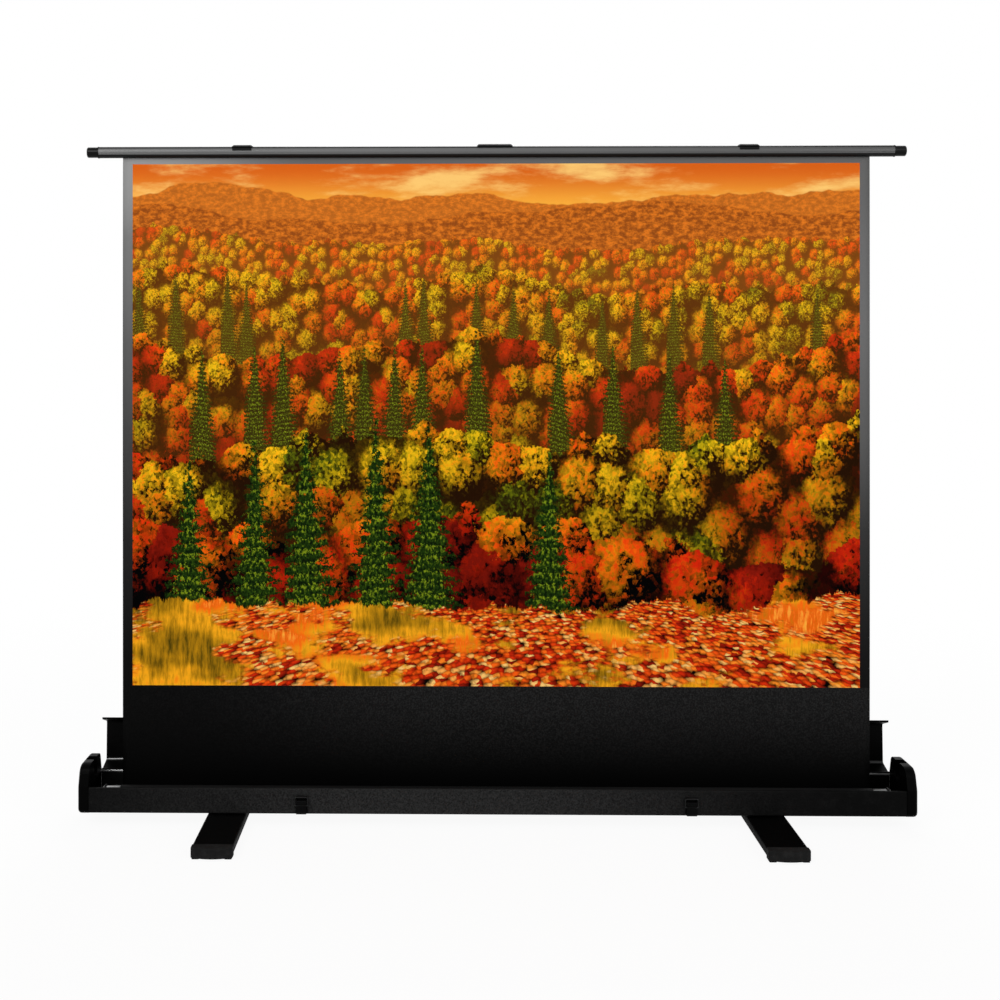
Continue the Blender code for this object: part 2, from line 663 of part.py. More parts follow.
def make_roller(axis, alloy, plastic, steel, cloth):
    """The spring roller: a tube with the sheet's last turns on it, a plug with a stub shaft at each end, a spring."""
    half = ROLLER_LENGTH / 2
    bore = ROLLER_RADIUS - ROLLER_WALL
    tube = [(bore, 0), (ROLLER_RADIUS, 0), (ROLLER_RADIUS, ROLLER_LENGTH), (bore, ROLLER_LENGTH)]
    start = (-half, ROLLER_Y, ROLLER_Z)
    place("roller_tube", turned(tube, start, (1, 0, 0), 32, ring=True), alloy, axis)
    skin = ROLLER_RADIUS + GAP
    wound = [(skin, 0), (WOUND_RADIUS, 0), (WOUND_RADIUS, SHEET_WIDTH), (skin, SHEET_WIDTH)]
    start = (-SHEET_WIDTH / 2, ROLLER_Y, ROLLER_Z)
    place("wound_fabric", turned(wound, start, (1, 0, 0), 32, ring=True), cloth, axis)
    body = bore - GAP
    steps = 10
    arbor = SPRING_COIL_RADIUS * math.cos(math.pi / steps) - SPRING_WIRE_RADIUS - 2 * GAP
    for side in (-1, 1):
        profile = [
            (0, -PLUG_DEPTH - SPRING_ARBOR),
            (arbor, -PLUG_DEPTH - SPRING_ARBOR),
            (arbor, -PLUG_DEPTH),
            (body, -PLUG_DEPTH),
            (body, GAP),
            (PLUG_FLANGE_RADIUS, GAP),
            (PLUG_FLANGE_RADIUS, PLUG_FLANGE),
            (SHAFT_RADIUS, PLUG_FLANGE),
            (SHAFT_RADIUS, PLUG_FLANGE + SHAFT_LENGTH),
            (0, PLUG_FLANGE + SHAFT_LENGTH),
        ]
        name = "roller_plug_right" if side > 0 else "roller_plug_left"
        place(name, turned(profile, (side * half, ROLLER_Y, ROLLER_Z), (side, 0, 0), 20), plastic, axis)
    first = half - PLUG_DEPTH - 2 * SPRING_WIRE_RADIUS
    path = []
    for step in range(SPRING_TURNS * steps + 1):
        angle = math.tau * step / steps
        along = first - SPRING_PITCH * step / steps
        lift = SPRING_COIL_RADIUS * math.sin(angle)
        path.append((along, ROLLER_Y + SPRING_COIL_RADIUS * math.cos(angle), ROLLER_Z + lift))
    gap = SPRING_PITCH - 2 * SPRING_WIRE_RADIUS
    print(f"roller spring: {SPRING_TURNS} turns, least gap between turns {gap * 1000:.2f} mm")
    hoop(path, SPRING_WIRE_RADIUS, 1, "roller_spring", steel, axis)


def make_roller_bracket(side, axis, steel):
    """An upright that carries the roller's stub shaft, with a foot on the trough's floor."""
    inner = side * (ROLLER_LENGTH / 2 + PLUG_FLANGE + RUNNING_GAP)
    middle = inner + side * BRACKET_PLATE / 2
    floor = TROUGH_FLOOR + GAP + BRACKET_PLATE / 2
    top = TROUGH_FLOOR + BRACKET_HEIGHT
    path = rounded(
        [(middle, top, 0), (middle, floor, BRACKET_PLATE), (middle + side * BRACKET_FLANGE, floor, 0)], closed=False
    )
    low, high = ROLLER_Y - BRACKET_WIDTH / 2, ROLLER_Y + BRACKET_WIDTH / 2
    bm = along_y(band(path, BRACKET_PLATE), low, high)
    bevel_edges(
        bm,
        lambda edge: all(abs(v.co.z - top) < GAP for v in edge.verts) and edge.calc_length() < 2 * BRACKET_PLATE,
        BRACKET_CORNER,
        4,
    )
    bracket = place("roller_bracket_right" if side > 0 else "roller_bracket_left", bm, steel, axis)
    start = (inner - side * CUT_OVERRUN, ROLLER_Y, ROLLER_Z)
    cut(bracket, rod(SHAFT_RADIUS + RUNNING_GAP, start, (side, 0, 0), BRACKET_PLATE + 2 * CUT_OVERRUN))


def make_sheet(axis, cloth):
    """The sheet from the roller's rear side up to the clamp in the top bar."""
    half = SHEET_WIDTH / 2
    top = BAR_RAISED_Z - BAR_RADIUS + BAR_WALL
    outline = box_outline(-half, half, ROLLER_Z, top)
    place("screen_fabric", along_y(outline, SHEET_PLANE, SHEET_PLANE + SHEET_THICKNESS), cloth, axis)


def tooth(centre, root, tip, steps=3):
    """The outline of one involute tooth as (radius, angle) pairs, in the order of growing angle."""
    pressure = math.radians(GEAR_PRESSURE_ANGLE)
    base = GEAR_PITCH_RADIUS * math.cos(pressure)
    thick = math.pi / (2 * GEAR_TEETH) - GEAR_BACKLASH / (2 * GEAR_PITCH_RADIUS)
    rising = [(root, thick + math.tan(pressure) - pressure)]
    for step in range(steps + 1):
        radius = base + (tip - base) * step / steps
        slope = math.acos(base / radius)
        rising.append((radius, thick + math.tan(pressure) - pressure - math.tan(slope) + slope))
    before = [(radius, centre - half) for radius, half in rising]
    after = [(radius, centre + half) for radius, half in reversed(rising)]
    return before + after


def arm_outline(first_tooth):
    """One arm seen from the front, lying along +u: toothed sector at the origin, plain eye at the far end."""
    module = 2 * GEAR_PITCH_RADIUS / GEAR_TEETH
    root = GEAR_PITCH_RADIUS - GEAR_ROOT_SHARE * module
    tip = GEAR_PITCH_RADIUS + module
    neck = math.degrees(math.asin(ARM_WIDTH / 2 / root))
    waist = 180 - math.degrees(math.asin(ARM_WIDTH / 2 / EYE_RADIUS))
    points = arc((ARM_LENGTH, 0), EYE_RADIUS, -waist, waist, 10)
    teeth = []
    for index in range(GEAR_SECTOR_TEETH):
        teeth += tooth(first_tooth + index * math.tau / GEAR_TEETH, root, tip)
    start = math.degrees(teeth[0][1])
    end = math.degrees(teeth[-1][1])
    points += arc((0, 0), root, neck, start, 4)[:-1]
    points += [(radius * math.cos(angle), radius * math.sin(angle)) for radius, angle in teeth]
    points += arc((0, 0), root, end, 360 - neck, 6)[1:]
    return points


def arm_spot(side, upper, u, v):
    """Where a point of an arm's outline lies: lower arms rise from the case, upper arms hang from the top bar."""
    along = u * math.cos(RAISED_ANGLE) - v * math.sin(RAISED_ANGLE)
    rise = u * math.sin(RAISED_ANGLE) + v * math.cos(RAISED_ANGLE)
    x = side * (GEAR_PITCH_RADIUS + along)
    return (x, RAISED_PIVOT_Z - rise) if upper else (x, LIFT_Z + rise)


def make_arm(side, upper, axis, paint):
    """A pressed channel arm with involute teeth that mesh with the arm beside it."""
    pitch = math.tau / GEAR_TEETH
    first = math.pi - RAISED_ANGLE - pitch
    if side < 0:
        first -= pitch / 2
    front = UPPER_ARM_Y if upper else LOWER_ARM_Y
    rear = front + ARM_THICKNESS
    outline = [arm_spot(side, upper, u, v) for u, v in arm_outline(first)]
    name = ("upper" if upper else "lower") + ("_arm_right" if side > 0 else "_arm_left")
    arm = place(name, along_y(outline, front, rear), paint, axis)
    reach = ARM_WIDTH / 2 - ARM_POCKET_WALL
    start, end = GEAR_PITCH_RADIUS + ARM_WIDTH / 2, ARM_LENGTH - ARM_WIDTH
    pocket = rounded([(start, -reach, reach), (end, -reach, reach), (end, reach, reach), (start, reach, reach)], 5)
    pocket = [arm_spot(side, upper, u, v) for u, v in pocket]
    cut(arm, along_y(pocket, rear - ARM_POCKET_DEPTH, rear + CUT_OVERRUN))
    for u in (0, ARM_LENGTH):
        x, z = arm_spot(side, upper, u, 0)
        depth = ARM_THICKNESS + 2 * CUT_OVERRUN
        cut(arm, rod(PIN_RADIUS + RUNNING_GAP, (x, front - CUT_OVERRUN, z), (0, 1, 0), depth))


def make_lift_bracket(axis, steel):
    """The plate in the middle of the trough that carries both lower pivots, with a foot under the gears."""
    middle = LOWER_ARM_Y - RUNNING_GAP - LIFT_PLATE / 2
    floor = TROUGH_FLOOR + GAP + LIFT_PLATE / 2
    top = LIFT_Z + LIFT_PLATE_TOP
    half = LIFT_PLATE_WIDTH / 2
    path = rounded([(middle, top, 0), (middle, floor, LIFT_PLATE), (middle + LIFT_FLANGE, floor, 0)], closed=False)
    bm = along_x(band(path, LIFT_PLATE), -half, half)
    bevel_edges(
        bm,
        lambda edge: all(abs(v.co.z - top) < GAP for v in edge.verts) and edge.calc_length() < 2 * LIFT_PLATE,
        LIFT_PLATE_TOP,
        5,
    )
    bracket = place("lift_bracket", bm, steel, axis)
    for side in (-1, 1):
        start = (side * GEAR_PITCH_RADIUS, middle - LIFT_PLATE, LIFT_Z)
        cut(bracket, rod(PIN_RADIUS + GAP, start, (0, 1, 0), 2 * LIFT_PLATE))


def make_top_bracket(axis, steel):
    """The folded bracket behind the top bar: a lip against the bar, a bridge over the gears, a plate with the pins."""
    lip = SHEET_PLANE + BAR_RADIUS + GAP + LIFT_PLATE / 2
    middle = UPPER_ARM_Y + ARM_THICKNESS + RUNNING_GAP + LIFT_PLATE / 2
    bridge = BAR_RAISED_Z + BAR_RADIUS / 2
    low = RAISED_PIVOT_Z - LIFT_PLATE_TOP
    path = rounded(
        [
            (lip, BAR_RAISED_Z - BAR_RADIUS / 2, 0),
            (lip, bridge, LIFT_PLATE),
            (middle, bridge, LIFT_PLATE),
            (middle, low, 0),
        ],
        closed=False,
    )
    half = LIFT_PLATE_WIDTH / 2
    bm = along_x(band(path, LIFT_PLATE), -half, half)
    bevel_edges(
        bm,
        lambda edge: all(abs(v.co.z - low) < GAP for v in edge.verts) and edge.calc_length() < 2 * LIFT_PLATE,
        LIFT_PLATE_TOP,
        5,
    )
    bracket = place("top_bracket", bm, steel, axis)
    for side in (-1, 1):
        start = (side * GEAR_PITCH_RADIUS, middle - LIFT_PLATE, RAISED_PIVOT_Z)
        cut(bracket, rod(PIN_RADIUS + GAP, start, (0, 1, 0), 2 * LIFT_PLATE))


def make_bar(axis, paint, plastic):
    """The round top bar: a tube slotted along its underside, a plug in each end, the spline that holds the sheet."""
    middle = BAR_RADIUS - BAR_WALL / 2
    slot = math.degrees(math.asin(BAR_SLOT_WIDTH / 2 / middle))
    centre = (SHEET_PLANE + SHEET_THICKNESS / 2, BAR_RAISED_Z)
    outline = band(arc(centre, middle, slot - 90, 270 - slot, 32), BAR_WALL)
    bar = place("top_bar", along_x(outline, -BAR_LENGTH / 2, BAR_LENGTH / 2), paint, axis)
    face = centre[0] - math.sqrt(BAR_RADIUS**2 - BAR_GROOVE_DROP**2)
    groove = box_outline(
        face - CUT_OVERRUN,
        face + BAR_GROOVE_DEPTH,
        BAR_RAISED_Z - BAR_GROOVE_DROP - BAR_GROOVE_WIDTH / 2,
        BAR_RAISED_Z - BAR_GROOVE_DROP + BAR_GROOVE_WIDTH / 2,
    )
    cut(bar, along_x(groove, -BAR_LENGTH / 2 - CUT_OVERRUN, BAR_LENGTH / 2 + CUT_OVERRUN))
    spigot = BAR_RADIUS - BAR_WALL - GAP
    for side in (-1, 1):
        end = BAR_COLLAR + BAR_PLUG_LENGTH
        profile = [
            (0, -BAR_SPIGOT),
            (spigot, -BAR_SPIGOT),
            (spigot, GAP),
            (BAR_COLLAR_RADIUS, GAP),
            (BAR_COLLAR_RADIUS, BAR_COLLAR),
            (BAR_PLUG_RADIUS, BAR_COLLAR),
            (BAR_PLUG_RADIUS, end - 2 * GAP - BAR_COLLAR / 2),
            (BAR_PLUG_RADIUS - BAR_COLLAR / 4, end - 2 * GAP - BAR_COLLAR / 4),
            (BAR_PLUG_RADIUS - BAR_COLLAR / 2, end),
            (0, end),
        ]
        name = "bar_plug_right" if side > 0 else "bar_plug_left"
        place(name, turned(profile, (side * BAR_LENGTH / 2, *centre), (side, 0, 0), 20), plastic, axis)
    level = BAR_RAISED_Z - BAR_RADIUS + BAR_WALL + GAP + SPLINE_RADIUS
    start = (-SHEET_WIDTH / 2, centre[0], level)
    place("sheet_spline", rod(SPLINE_RADIUS, start, (1, 0, 0), SHEET_WIDTH, 12), plastic, axis)


def make_saddle(name, middle, length, rise, axis, plastic):
    """A moulding that wraps the top of the bar, with sloping ends."""
    inner = BAR_RADIUS + GAP
    centre = (SHEET_PLANE + SHEET_THICKNESS / 2, BAR_RAISED_Z)
    stations = [
        (-length / 2, rise * SADDLE_EDGE_SHARE),
        (SADDLE_SLOPE - length / 2, rise),
        (length / 2 - SADDLE_SLOPE, rise),
        (length / 2, rise * SADDLE_EDGE_SHARE),
    ]
    rings = []
    for along, height in stations:
        ring = band(arc(centre, inner + height / 2, 90 - SADDLE_ARC / 2, 90 + SADDLE_ARC / 2, 10), height)
        rings.append([(middle + along, u, v) for u, v in ring])
    return place(name, lofted(rings), plastic, axis)


def latch_faces():
    """Depths of the latch: the trough's front face, the plate's face and the lever's pivot."""
    wall = -CASE_DEPTH / 2 - GAP
    face = wall - LATCH_PLATE
    return wall, face, face - LATCH_PIVOT_OUT


def make_latch_plate(side, axis, steel):
    """A latch's base plate on the front wall, with the two ears that carry the lever."""
    wall, face, pivot_y = latch_faces()
    middle = side * LATCH_OFFSET
    half = LATCH_PLATE_WIDTH / 2
    pivot_z = LATCH_BOTTOM + LATCH_PIVOT_RISE
    outline = box_outline(middle - half, middle + half, LATCH_BOTTOM, LATCH_BOTTOM + LATCH_HEIGHT, 2 * LATCH_EAR)
    name = "latch_plate_right" if side > 0 else "latch_plate_left"
    plate = place(name, along_y(outline, face, wall), steel, axis)
    inner = LEVER_WIDTH / 2 + GAP
    low, high = pivot_z - LATCH_EAR_HEIGHT / 2, pivot_z + LATCH_EAR_HEIGHT / 2
    out = pivot_y - 2 * LATCH_PIN_RADIUS
    ear = rounded(
        [
            (face + LATCH_PLATE / 2, low, 0),
            (face + LATCH_PLATE / 2, high, 0),
            (out, high, 2 * LATCH_PIN_RADIUS),
            (out, low, 2 * LATCH_PIN_RADIUS),
        ]
    )
    for hand in (-1, 1):
        start = middle + hand * inner
        join(plate, along_x(ear, start, start + hand * LATCH_EAR))
        bore = LATCH_PIN_RADIUS + GAP
        cut(plate, rod(bore, (start - hand * CUT_OVERRUN, pivot_y, pivot_z), (hand, 0, 0), LATCH_EAR + 2 * CUT_OVERRUN, 14))


def make_latch_lever(side, axis, steel):
    """The latch's lever: a curled plate with a barrel and pin at its pivot and a lower barrel for the bail."""
    wall, face, pivot_y = latch_faces()
    middle = side * LATCH_OFFSET
    pivot_z = LATCH_BOTTOM + LATCH_PIVOT_RISE
    half = LEVER_WIDTH / 2
    front = pivot_y - LEVER_WALL
    tail = pivot_z - LEVER_TAIL
    path = rounded(
        [
            (pivot_y, pivot_z, 0),
            (front, pivot_z - LEVER_CURL, LEVER_WALL),
            (front, tail + LEVER_CURL, LEVER_WALL),
            (front - LEVER_CURL, tail, 0),
        ],
        closed=False,
    )
    name = "latch_lever_right" if side > 0 else "latch_lever_left"
    lever = place(name, along_x(band(path, LEVER_WALL), middle - half, middle + half), steel, axis)
    barrel = LATCH_PIN_RADIUS + LEVER_WALL
    join(lever, rod(barrel, (middle - half, pivot_y, pivot_z), (1, 0, 0), LEVER_WIDTH, 16))
    length = LEVER_WIDTH + 2 * LATCH_EAR
    join(lever, rod(LATCH_PIN_RADIUS, (middle - length / 2, pivot_y, pivot_z), (1, 0, 0), length, 12))
    bail_z = pivot_z - BAIL_DROP
    join(lever, rod(BAIL_WIRE_RADIUS + LEVER_WALL, (middle - half, front, bail_z), (1, 0, 0), LEVER_WIDTH, 16))
    for hand in (-1, 1):
        depth = BAIL_SEAT + GAP
        start = (middle + hand * (half - depth), front, bail_z)
        cut(lever, rod(BAIL_WIRE_RADIUS + GAP, start, (hand, 0, 0), depth + CUT_OVERRUN, 14))


def make_bail(side, axis, steel):
    """The latch's wire bail: its ends turn into the lever's lower barrel and its bow hooks the lid's keeper."""
    wall, face, pivot_y = latch_faces()
    middle = side * LATCH_OFFSET
    front = pivot_y - LEVER_WALL
    low = LATCH_BOTTOM + LATCH_PIVOT_RISE - BAIL_DROP
    leg = BAIL_WIDTH / 2 - BAIL_WIRE_RADIUS
    end = LEVER_WIDTH / 2 - BAIL_SEAT
    corners = [
        (-end, low, 0),
        (-leg, low, BAIL_CORNER / 2),
        (-leg, low + BAIL_RISE, BAIL_CORNER),
        (leg, low + BAIL_RISE, BAIL_CORNER),
        (leg, low, BAIL_CORNER / 2),
        (end, low, 0),
    ]
    path = [(middle + u, front, v) for u, v in rounded(corners, 5, closed=False)]
    hoop(path, BAIL_WIRE_RADIUS, 2, "latch_bail_right" if side > 0 else "latch_bail_left", steel, axis)


def foot_levels():
    """Heights of a foot: the bar's underside and top, each clear of what it meets."""
    low = FOOT_PAD + FOOT_SHOE_PROUD
    return low, low + FOOT_BAR_HEIGHT


def make_foot_bar(side, axis, paint):
    """A flat rectangular tube that turns under the case on its pivot bolt."""
    low, high = foot_levels()
    middle = side * FOOT_OFFSET
    half = FOOT_WIDTH / 2
    end = FOOT_LENGTH / 2 - FOOT_SHOE_LENGTH
    outer = box_outline(middle - half, middle + half, low, high, 2 * FOOT_BAR_WALL)
    name = "foot_bar_right" if side > 0 else "foot_bar_left"
    foot = place(name, along_y(outer, -end, end), paint, axis)
    half -= FOOT_BAR_WALL
    inner = box_outline(middle - half, middle + half, low + FOOT_BAR_WALL, high - FOOT_BAR_WALL, FOOT_BAR_WALL)
    cut(foot, along_y(inner, -end - CUT_OVERRUN, end + CUT_OVERRUN))
    start = (middle, 0, high - FOOT_BAR_WALL - CUT_OVERRUN)
    cut(foot, rod(FOOT_BOLT_RADIUS + RUNNING_GAP, start, (0, 0, 1), FOOT_BAR_WALL + 2 * CUT_OVERRUN))


def make_foot_shoe(side, facing, axis, plastic):
    """A moulded end of a foot: bowed front, rounded edges, two pads below and a spigot in the tube."""
    low, high = foot_levels()
    middle = side * FOOT_OFFSET
    half = FOOT_WIDTH / 2 + FOOT_SHOE_PROUD
    seam = FOOT_LENGTH / 2 - FOOT_SHOE_LENGTH + GAP
    tip = FOOT_LENGTH / 2
    bow = (half**2 + FOOT_BOW**2) / (2 * FOOT_BOW)
    sweep = math.degrees(math.asin(half / bow))
    front = arc((0, tip - bow), bow, 90 - sweep, 90 + sweep, 8)
    corners = [(-half, seam, 0), (half, seam, 0), (*front[0], FOOT_CORNER_RADIUS)]
    corners += [(u, v, 0) for u, v in front[1:-1]]
    corners += [(*front[-1], FOOT_CORNER_RADIUS)]
    outline = [(middle + u, facing * v) for u, v in rounded(corners)]
    bottom, top = low - FOOT_SHOE_PROUD, high + FOOT_SHOE_PROUD
    bm = along_z(outline, bottom, top)

    def on_rim(edge):
        return all(abs(v.co.z - top) < GAP for v in edge.verts) and any(abs(v.co.y) > seam + GAP for v in edge.verts)

    bevel_edges(bm, on_rim, FOOT_BAR_WALL, 2)
    place_name = ("front" if facing < 0 else "rear") + ("_right" if side > 0 else "_left")
    shoe = place("foot_shoe_" + place_name, bm, plastic, axis)
    inside = FOOT_WIDTH / 2 - FOOT_BAR_WALL - 2 * GAP
    floor, roof = low + FOOT_BAR_WALL + 2 * GAP, high - FOOT_BAR_WALL - 2 * GAP
    spigot = box_outline(middle - inside, middle + inside, floor, roof, FOOT_BAR_WALL)
    join(shoe, along_y(spigot, facing * (seam - FOOT_SPIGOT), facing * (seam + FOOT_SPIGOT / 3)))
    for hand in (-1, 1):
        edge = middle + hand * (half - FOOT_BAR_WALL)
        ends = sorted((edge, edge - hand * FOOT_PAD_WIDTH))
        spots = sorted((facing * (tip - FOOT_BOW - FOOT_PAD_LENGTH), facing * (tip - FOOT_BOW)))
        pad = box_outline(*ends, *spots, FOOT_BAR_WALL)
        join(shoe, along_z(pad, 0, bottom + FOOT_BAR_WALL))


def make_foot_pivot(side, axis, paint, steel):
    """What carries a foot: a round plate below the trough and a bolt with a head inside the tube."""
    low, high = foot_levels()
    middle = side * FOOT_OFFSET
    suffix = "_right" if side > 0 else "_left"
    bottom = high + FOOT_SHOE_PROUD + GAP
    top = CASE_FLOOR - GAP
    bore = FOOT_BOLT_RADIUS + GAP
    plate = [(bore, 0), (FOOT_MOUNT_RADIUS, 0), (FOOT_MOUNT_RADIUS, top - bottom), (bore, top - bottom)]
    place("foot_mount" + suffix, turned(plate, (middle, 0, bottom), (0, 0, 1), 32, ring=True), paint, axis)
    head_top = high - FOOT_BAR_WALL - GAP
    nut = TROUGH_FLOOR + GAP
    base = head_top - FOOT_BOLT_HEAD
    profile = [
        (0, 0),
        (FOOT_BOLT_HEAD_RADIUS, 0),
        (FOOT_BOLT_HEAD_RADIUS, FOOT_BOLT_HEAD),
        (FOOT_BOLT_RADIUS, FOOT_BOLT_HEAD),
        (FOOT_BOLT_RADIUS, nut - base),
        (FOOT_BOLT_HEAD_RADIUS, nut - base),
        (FOOT_BOLT_HEAD_RADIUS, nut - base + FOOT_BOLT_HEAD / 2),
        (FOOT_BOLT_HEAD_RADIUS - FOOT_BOLT_HEAD / 2, nut - base + FOOT_BOLT_HEAD),
        (0, nut - base + FOOT_BOLT_HEAD),
    ]
    place("foot_bolt" + suffix, turned(profile, (middle, 0, base), (0, 0, 1), 18), steel, axis)


def main():
    clear_scene()
    paint = make_material("black_paint", BLACK_PAINT, 0.42, 0.0)
    bar_paint = make_material("bar_paint", BAR_GREY, 0.38, 0.0)
    plastic = make_material("black_plastic", BLACK_PLASTIC, 0.5, 0.0)
    steel = make_material("zinc_steel", ZINC, 0.35, 1.0)
    dark_steel = make_material("black_steel", BLACK_PAINT, 0.35, 0.6)
    alloy = make_material("roller_alloy", STEEL, 0.3, 1.0)
    cloth = make_material("sheet_black", CLOTH_BLACK, 0.9, 0.0)

    case = make_axis("case", (0, 0, 0))
    make_trough(case, paint)
    for side in (-1, 1):
        make_end_cap(side, case, plastic)
        make_roller_bracket(side, case, steel)
        make_latch_plate(side, case, dark_steel)
        make_foot_pivot(side, case, paint, steel)
    make_lift_bracket(case, dark_steel)
    make_sheet(case, cloth)

    roller = make_axis("roller_axis", (0, ROLLER_Y, ROLLER_Z), case)
    make_roller(roller, alloy, plastic, steel, cloth)

    lid = make_axis("lid_axis", (0, HINGE_Y, HINGE_Z), case)
    make_lid(lid, paint)
    handle_y, handle_z = lid_point(0, HANDLE_PIVOT_HEIGHT)
    handle = make_axis("handle_axis", (0, handle_y, handle_z), lid)
    make_handle(lid, handle, plastic, steel)

    wall, face, pivot_y = latch_faces()
    bar = make_axis("bar_axis", (0, SHEET_PLANE, RAISED_PIVOT_Z), case)
    make_bar(bar, bar_paint, plastic)
    make_saddle("grip_handle", 0, GRIP_LENGTH, GRIP_RISE, bar, plastic)
    make_top_bracket(bar, dark_steel)
    lower_plate = LOWER_ARM_Y - RUNNING_GAP - LIFT_PLATE
    arm_rear = LOWER_ARM_Y + ARM_THICKNESS
    upper_rear = UPPER_ARM_Y + ARM_THICKNESS
    for side in (-1, 1):
        suffix = "_right" if side > 0 else "_left"
        make_keeper(side, lid, dark_steel)
        make_saddle("bar_clip" + suffix, side * CLIP_OFFSET, CLIP_LENGTH, CLIP_RISE, bar, plastic)

        pivot = (side * GEAR_PITCH_RADIUS, arm_rear, LIFT_Z)
        lower = make_axis("lower_arm_axis" + suffix, pivot, case)
        make_arm(side, False, lower, dark_steel)
        x, z = arm_spot(side, False, ARM_LENGTH, 0)
        rivet("lift_pin" + suffix, pivot[0], LIFT_Z, lower_plate - GAP, arm_rear + GAP, steel, case, rear_head=PIN_REAR_HEAD)
        rivet("elbow_pin" + suffix, x, z, LOWER_ARM_Y - GAP, upper_rear + GAP, steel, lower)
        upper = make_axis("upper_arm_axis" + suffix, (x, arm_rear, z), lower)
        make_arm(side, True, upper, dark_steel)
        rear = upper_rear + RUNNING_GAP + LIFT_PLATE + GAP
        rivet("top_pin" + suffix, pivot[0], RAISED_PIVOT_Z, UPPER_ARM_Y - GAP, rear, steel, bar, front_head=PIN_REAR_HEAD)

        pivot_z = LATCH_BOTTOM + LATCH_PIVOT_RISE
        lever = make_axis("lever_axis" + suffix, (side * LATCH_OFFSET, pivot_y, pivot_z), case)
        make_latch_lever(side, lever, dark_steel)
        bail = make_axis("bail_axis" + suffix, (side * LATCH_OFFSET, pivot_y - LEVER_WALL, pivot_z - BAIL_DROP), lever)
        make_bail(side, bail, dark_steel)

        foot = make_axis("foot_axis" + suffix, (side * FOOT_OFFSET, 0, CASE_FLOOR), case)
        make_foot_bar(side, foot, paint)
        make_foot_shoe(side, -1, foot, plastic)
        make_foot_shoe(side, 1, foot, plastic)

    travel = RAISED_ANGLE - FOLDED_ANGLE
    wound = BAR_RAISED_Z - BAR_FOLDED_Z
    print(f"raised {math.degrees(RAISED_ANGLE):.3f} deg, folded {math.degrees(FOLDED_ANGLE):.3f} deg")
    print(f"roller ratio {-wound / ROLLER_FEED_RADIUS / travel:.3f} per unit of the lift's travel")


main()
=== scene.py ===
"""Pull up projection screen: finishes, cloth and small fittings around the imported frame.

Everything is in metres, in the frame's own axes: X along the case, Y to the rear, Z up.
"""

import json
import math

import bmesh
import bpy
from mathutils import Matrix, Vector


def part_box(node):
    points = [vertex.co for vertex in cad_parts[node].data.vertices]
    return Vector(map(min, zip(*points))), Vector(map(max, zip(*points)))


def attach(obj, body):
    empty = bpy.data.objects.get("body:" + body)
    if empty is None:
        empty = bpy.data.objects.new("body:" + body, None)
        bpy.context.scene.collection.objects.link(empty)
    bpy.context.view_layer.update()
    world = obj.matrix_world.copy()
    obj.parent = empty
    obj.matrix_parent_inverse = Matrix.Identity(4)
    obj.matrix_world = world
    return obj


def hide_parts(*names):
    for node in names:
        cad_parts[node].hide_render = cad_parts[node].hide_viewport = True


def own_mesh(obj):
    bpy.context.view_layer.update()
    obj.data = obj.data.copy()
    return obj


bl_info = {
    "name": "Pull up projection screen",
    "version": (1, 0, 0),
    "blender": (4, 5, 0),
    "location": "3D View > Sidebar > Screen",
    "description": "Dresses the framed parts of a floor standing pull up projection screen",
    "category": "Object",
}

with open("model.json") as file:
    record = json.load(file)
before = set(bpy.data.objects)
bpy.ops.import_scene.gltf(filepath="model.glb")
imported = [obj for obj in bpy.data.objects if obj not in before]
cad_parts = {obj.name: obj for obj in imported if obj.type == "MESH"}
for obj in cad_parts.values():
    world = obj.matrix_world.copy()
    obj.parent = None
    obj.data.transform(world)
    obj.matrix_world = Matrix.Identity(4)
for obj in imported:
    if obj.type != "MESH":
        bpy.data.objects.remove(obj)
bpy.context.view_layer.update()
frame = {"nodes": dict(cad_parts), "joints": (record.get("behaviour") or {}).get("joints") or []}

SHEET_LOW, SHEET_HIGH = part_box("screen_fabric")
WOUND_LOW, WOUND_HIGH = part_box("wound_fabric")
BAR_LOW, BAR_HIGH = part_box("top_bar")
LID_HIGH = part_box("lid_shell")[1]
ROLLER_Y = (WOUND_LOW.y + WOUND_HIGH.y) / 2
ROLLER_Z = (WOUND_LOW.z + WOUND_HIGH.z) / 2
BAR_Y, BAR_Z = (BAR_LOW.y + BAR_HIGH.y) / 2, (BAR_LOW.z + BAR_HIGH.z) / 2
BAR_RADIUS = (BAR_HIGH.z - BAR_LOW.z) / 2
# Where the lid's hinge stands, in y and z
HINGE_Y, HINGE_Z = next(j["pos_m"][1:] for j in frame["joints"] if j["name"] == "lid_hinge")


# Shader maths


